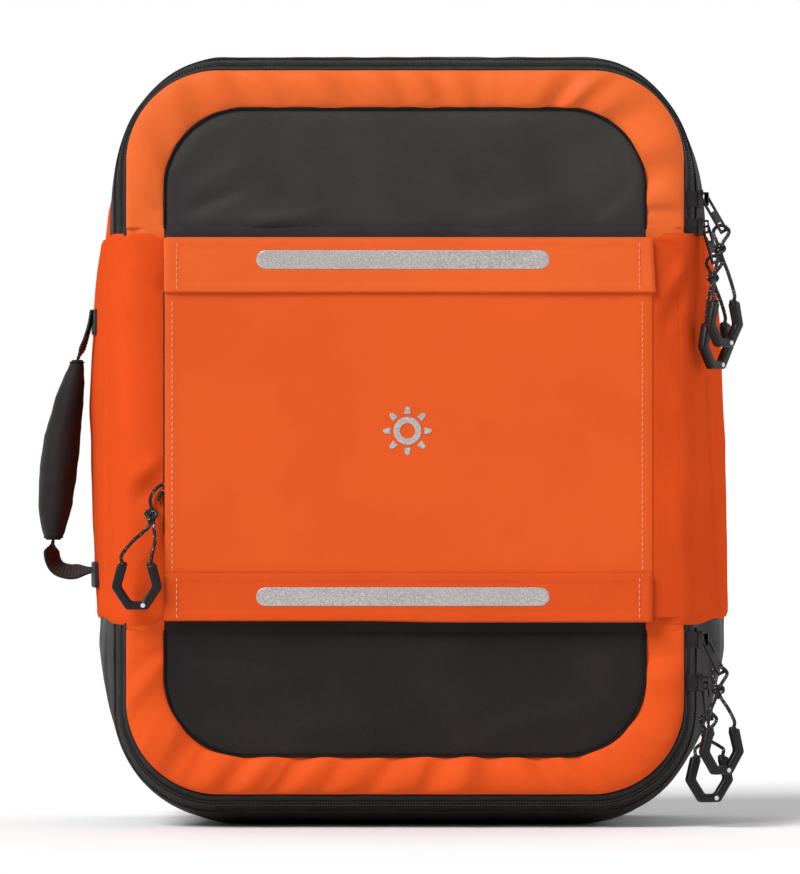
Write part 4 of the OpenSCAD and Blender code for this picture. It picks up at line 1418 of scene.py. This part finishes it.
# ---- back panel and its pads ----


def make_back():
    """The padded back panel, with quilted pads of air mesh on it."""
    build = Build()

    def relief(x, z, edge):
        return smooth01(edge / 20) * 0.9 * flat_noise(x, z, 60, 60, 101)
    panel(build, (-198.5, 198.5, 1, 494.5), (92, 113), 97.6, 80.6, facing=1, drop=8, margin=20,
          relief=relief, size=(80, 90), inner_slot=1)
    back = build.put("padded_back_panel", "base lining", "bag", "dark_fabric", "back_panel")

    for name, node, boxes, lift, radius, rows in (
            ("pads", "back_pads", [(-130, -12, 150, 430), (12, 130, 150, 430)], 109.5, 24, 6),
            ("lumbar_pad", "lumbar_pad", [(-120, 120, 42, 135)], 111.5, 26, 2)):
        build, edging = Build(), Build()
        for x0, x1, z0, z1 in boxes:
            def quilt(x, z, edge):
                grooves = sum(np.exp(-((z - z0 - (z1 - z0) * k / rows) / 3.2) ** 2)
                              for k in range(1, rows))
                return smooth01(edge / 10) * (0.7 * flat_noise(x, z, 35, 35, 111)
                                              - 3.4 * np.minimum(grooves, 1))
            panel(build, (x0, x1, z0, z1), (radius, radius), lift, 98.2, facing=1, drop=9.5,
                  margin=20, relief=quilt, size=(50, 110))
            upper, lower = (rim((x1 - x0) / 2, end, (radius, radius), (z0 + z1) / 2, end == z1,
                                (10, 12, 20))[0] for end in (z1, z0))
            x, z = np.concatenate([upper, lower[::-1][1:-1]]).T
            edging.tube(xyz(x + (x0 + x1) / 2, 99.4, z), 1.5, 8, closed=True)
        piece = build.put(f"air_mesh_{name}", "mesh", "bag", "mesh_pad", node)
        edging.put(f"{name}_edging", "piping", "bag", "mesh_pad")


make_back()

# ---- shoulder straps and haul loop ----

STRAP_LINE = [  # depth and height, from the yoke down
    (105, 462), (108, 452), (115, 436), (127, 402), (139, 360), (146, 315), (149, 270), (147, 225),
    (141, 180), (132, 140),
]
STRAP_TOP = 462.0
STRAP_X = 62.0
STRAP_LEAN = math.radians(6)
ADJUSTER_LEAN = math.radians(31)


def make_strap(side):
    """Padded strap with its webbing, ladder lock, adjusting webbing and sewn ends."""
    name = "right" if side > 0 else "left"
    body = f"shoulder_strap_{name}"
    line = curve([(0, y, z) for y, z in STRAP_LINE], 8)
    s = np.linspace(0, 1, len(line))
    drop = STRAP_TOP - line[:, 2]
    # the strap leans outwards and bows a little away from the spine
    line[:, 0] = side * (STRAP_X + drop * math.sin(STRAP_LEAN) + 5 * np.sin(np.pi * s)
                         - 3 * np.sin(2 * np.pi * s))
    tangent = tangents(line)
    across = unit(np.array([1.0, 0, 0]) - tangent * tangent[:, :1])
    out = np.cross(across, tangent)
    half_w = 31 - 5 * smooth01((s - 0.7) / 0.3) - 2 * smooth01((0.15 - s) / 0.15)
    half_t = 6.0 * (0.55 + 0.45 * smooth01(np.minimum(s, 1 - s) / 0.12))
    around = 40
    a = np.linspace(0, 2 * np.pi, around, endpoint=False)
    cu = np.sign(np.cos(a)) * np.abs(np.cos(a)) ** 0.55
    cv = np.sign(np.sin(a)) * np.abs(np.sin(a)) ** 0.75
    p = (line[:, None] + across[:, None] * (half_w[:, None] * cu)[..., None]
         + out[:, None] * (half_t[:, None] * cv)[..., None])
    p = p + out[:, None] * (0.7 * noise(p, (26, 26, 22), 121 + side))[..., None]
    build = Build()
    build.add(p.reshape(-1, 3), ring_faces(len(line), around))
    pad = build.put(f"strap_{name}_pad", "mesh", body, "mesh_pad", f"strap_{name}")
    build = Build()
    for edge in (-1, 1):
        build.tube(line + across * (edge * (half_w - 0.3))[:, None], 2.1, 8, flat=1.3)
    build.put(f"strap_{name}_binding", "piping", body, "dark_fabric")
    # webbing sewn down the outside, and the short loop that holds the ladder lock
    outer = np.where(out[len(out) // 2][1] > 0, 1.0, -1.0)
    top = line + out * (outer * (half_t + 0.9))[:, None]
    build = Build()
    ribbon(build, dense(top[4:-1], 0.9), (1, 0, 0), 22, 1.6, ribs=0.25)
    build.put(f"strap_{name}_webbing", "webbing_x", body, "black_webbing")
    build = Build()
    for edge in (-1, 1):
        seam = top + across * (edge * 8.5) + out * outer * 0.6
        build.stitches(seam[4:-2], 4, 2.8, 0.35, 0.3, (0, 1, 0))
    build.put(f"strap_{name}_stitches", "stitch_dark", body, "black_webbing")
    # round the lock's top bar and back into the strap's end
    build = Build()
    x = line[-1][0]
    link = curve([(x, 133.6, 144), (x, 133.2, 138), (x - side, 130.6, 131),
                  (x - side, 127.6, 128.8), (x - side, 126.4, 132), (x, 128.6, 138),
                  (x, 130.2, 144)], 8)
    ribbon(build, dense(link, 0.7), (1, 0, 0), 24, 1.5, ribs=0.2)
    build.put(f"strap_{name}_lock_loop", "webbing_x", body, "black_webbing")
    softened(f"ladder_lock_{name}", f"ladder_lock_{name}_body", body, "buckle_plastic", "buckle",
             1.0)

    # adjusting webbing from the bag's lower corner
    head, end = np.array([side * 103.5, 126.5, 112]), np.array([side * 150, 101.6, 46])
    path = dense([end + t * (head - end) + np.array([0, -3.0 * math.sin(math.pi * t), 0])
                  for t in np.linspace(0, 1, 20)], 0.9)
    right = np.array([math.cos(ADJUSTER_LEAN), 0, side * math.sin(ADJUSTER_LEAN)])
    up = np.array([-side * math.sin(ADJUSTER_LEAN), 0, math.cos(ADJUSTER_LEAN)])
    build = Build()
    ribbon(build, path, right, 25, 1.7, ribs=0.25)
    piece = build.make(f"strap_{name}_adjuster_webbing", "webbing_x")
    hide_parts(f"strap_web_{name}")
    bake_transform(piece)
    bar(f"strap_{name}_foot_patch", "webbing_x", (side * 152, 100.0, 43), -right, up,
        (36, 24, 2.6))
    bar(f"strap_{name}_yoke", "base", (side * STRAP_X, 100.6, 474), (-1, 0, 0), (0, 0, 1),
        (68, 18, 5.5))

    # the fabric hinge between the yoke and the padded strap
    path = dense([(side * STRAP_X, y, z)
                  for y, z in ((102.0, 472), (104.0, 466.5), (105.3, 461), (107.0, 455))], 0.8)
    build = Build()
    ribbon(build, path, (1, 0, 0), 56, 3.4, columns=25)
    piece = build.make(f"strap_{name}_hinge_fabric", "base")
    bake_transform(piece)


make_strap(-1)
make_strap(1)


HAUL_FOOT_Z = 452.0
HAUL_RADIUS = 20.0
HAUL_WIDTH = 14.0


def make_haul_loop():
    """A half ring of webbing, sewn under a patch."""
    a = np.linspace(0, np.pi, 60)

    def arc(radius, y):
        return xyz(radius * np.cos(a), y, HAUL_FOOT_Z + radius * np.sin(a))
    build = Build()
    ribbon(build, arc(HAUL_RADIUS, 100.6), xyz(np.cos(a), 0, np.sin(a)), HAUL_WIDTH, 3.2,
           ribs=0.2, columns=11)
    build.put("haul_loop_webbing", "webbing_x", "top_haul_loop", "black_webbing", "haul_loop")
    build = Build()
    for radius in (HAUL_RADIUS - 4.5, HAUL_RADIUS + 4.5):
        build.stitches(arc(radius, 102.2), 3, 2.1, 0.32, 0.25, (0, 1, 0))
    build.put("haul_loop_stitches", "stitch_dark", "top_haul_loop", "black_webbing")
    bar("haul_patch", "base", (0, 100.2, HAUL_FOOT_Z - 6.5), (-1, 0, 0), (0, 0, 1),
        (56, 10, 4), cross=False)


make_haul_loop()

# ---- stowed panel, electronics and the inside ----


PANEL_HALF = 136.5  # to the stitches along the stowed panel's edge
PANEL_LOW, PANEL_HIGH = 145.0, 373.0
LEAD_ROUTE = [
    (118, -83, 184.4), (118, -83, 205), (117, -82, 250), (110, -82, 310), (88, -82, 356),
    (50, -82, 374), (20, -82, 370), (4, -82, 358), (0, -82, 346.4),
]
LEAD_RADIUS = 2.0
SLEEVE_HALF = 193.5
SLEEVE_TOP = 330.0


def make_inside():
    """The panel stowed behind the cover, its electronics, and the laptop sleeve."""
    softened("solar_panel", "stowed_solar_panel", "bag", "solar_laminate", "laminate", 0.8)
    softened("solar_cells", "silicon_cells", "bag", "solar_cell", "cell", 0.12, 1)
    build = Build()
    outline = [(-PANEL_HALF, PANEL_LOW), (PANEL_HALF, PANEL_LOW), (PANEL_HALF, PANEL_HIGH),
               (-PANEL_HALF, PANEL_HIGH)]
    for start, end in zip(outline, outline[1:] + outline[:1]):
        build.stitches([(x, -98.5, z) for x, z in np.linspace(start, end, 12)], 5)
    build.put("solar_panel_stitches", "stitch_dark", "bag", "solar_laminate")

    softened("junction_box", "usb_junction_box", "bag", "electronics", "case", 1.6)
    build = Build()
    for x in (110.0, 126.0):
        build.block((x, -84.6, 154.5), ((1, 0, 0), (0, 0, 1), (0, -1, 0)), (5, 4, 0.9))
    build.put("usb_tongues", "dot", "bag", "electronics", smooth=False)
    softened("power_bank", "power_bank_case", "bag", "electronics", "case", 4.0, 4)
    build = Build()
    for x in (-12, -4, 4, 12):
        build.tube([(x, -75.0, 336), (x, -73.9, 336), (x, -73.7, 336)], [1.4, 1.4, 0.9], 12)
    build.put("power_bank_lights", "dot", "bag", "electronics")
    lead = curve(LEAD_ROUTE)
    build = Build()
    build.tube(lead, LEAD_RADIUS, 12)
    for end in (lead[0], lead[-1]):
        build.tube([end, end + (0, 0, 9), end + (0, 0, 13)], [3.6, 3.4, 2.2], 14)
    build.put("solar_lead_cable", "cable", "bag", "cable", "solar_lead")
    softened("battery_pocket", "battery_pocket_mesh", "bag", "mesh_pad", "mesh", 0.5)

    build = Build()

    def relief(x, z, edge):
        quilting = np.abs(np.sin((x + z) / 26) * np.sin((x - z) / 26)) ** 0.35
        return smooth01(edge / 8) * (0.5 * flat_noise(x, z, 50, 50, 131) + 0.9 * quilting - 0.9)
    panel(build, (-SLEEVE_HALF, SLEEVE_HALF, 6, SLEEVE_TOP), (104, 3), 62.2, 66.8, margin=5,
          relief=relief, size=(90, 80))
    sleeve = build.put("quilted_laptop_sleeve", "lining", "bag", "dark_fabric", "laptop_sleeve")
    build = Build()
    build.tube([(x, 64.5, SLEEVE_TOP + 0.4)
                for x in np.linspace(1 - SLEEVE_HALF, SLEEVE_HALF - 1, 60)], 2.6, 10, flat=0.8)
    build.put("laptop_sleeve_binding", "piping", "bag", "dark_fabric")


make_inside()

# ---- light and floor ----


def make_light(name, towards, power, spread):
    """A broad distant light. towards is the direction it comes from."""
    data = bpy.data.lights.new(name, "SUN")
    data.energy, data.angle = power, math.radians(spread)
    light = add_object(name, data)
    light.rotation_euler = Vector(towards).to_track_quat("Z", "Y").to_euler()


def make_studio():
    """World light, two distant lights and a pale floor."""
    world = bpy.data.worlds.new("studio")
    bpy.context.scene.world = world
    world.use_nodes = True
    tree = world.node_tree
    # bright behind the bag and softer in front of it, so that the folds show
    coordinates = tree.nodes.new("ShaderNodeTexCoord")
    axes = tree.nodes.new("ShaderNodeSeparateXYZ")
    ramp = tree.nodes.new("ShaderNodeValToRGB")
    near, far = ramp.color_ramp.elements
    near.position, near.color = 0.0, (0.25, 0.25, 0.26, 1)
    far.position, far.color = 0.45, (1, 1, 1, 1)
    tree.links.new(coordinates.outputs["Generated"], axes.inputs[0])
    tree.links.new(axes.outputs["Y"], ramp.inputs["Fac"])
    tree.links.new(ramp.outputs["Color"], tree.nodes["Background"].inputs["Color"])
    make_light("key", (-0.55, -0.6, 0.75), 3.2, 30)
    make_light("right_fill", (1.0, -0.05, 0.2), 0.9, 60)
    mesh = bpy.data.meshes.new("floor")
    mesh.from_pydata([(-60, -60, 0), (60, -60, 0), (60, 60, 0), (-60, 60, 0)], [], [(0, 1, 2, 3)])
    floor = add_object("floor", mesh)
    floor.location.z = -0.0005
    paper = Shader("floor_paper", 1.0, Specular_IOR_Level=0.0)
    paper.colour((0.84, 0.84, 0.84, 1))
    mesh.materials.append(paper.material)
    bpy.context.scene.view_settings.view_transform = "Standard"


make_studio()
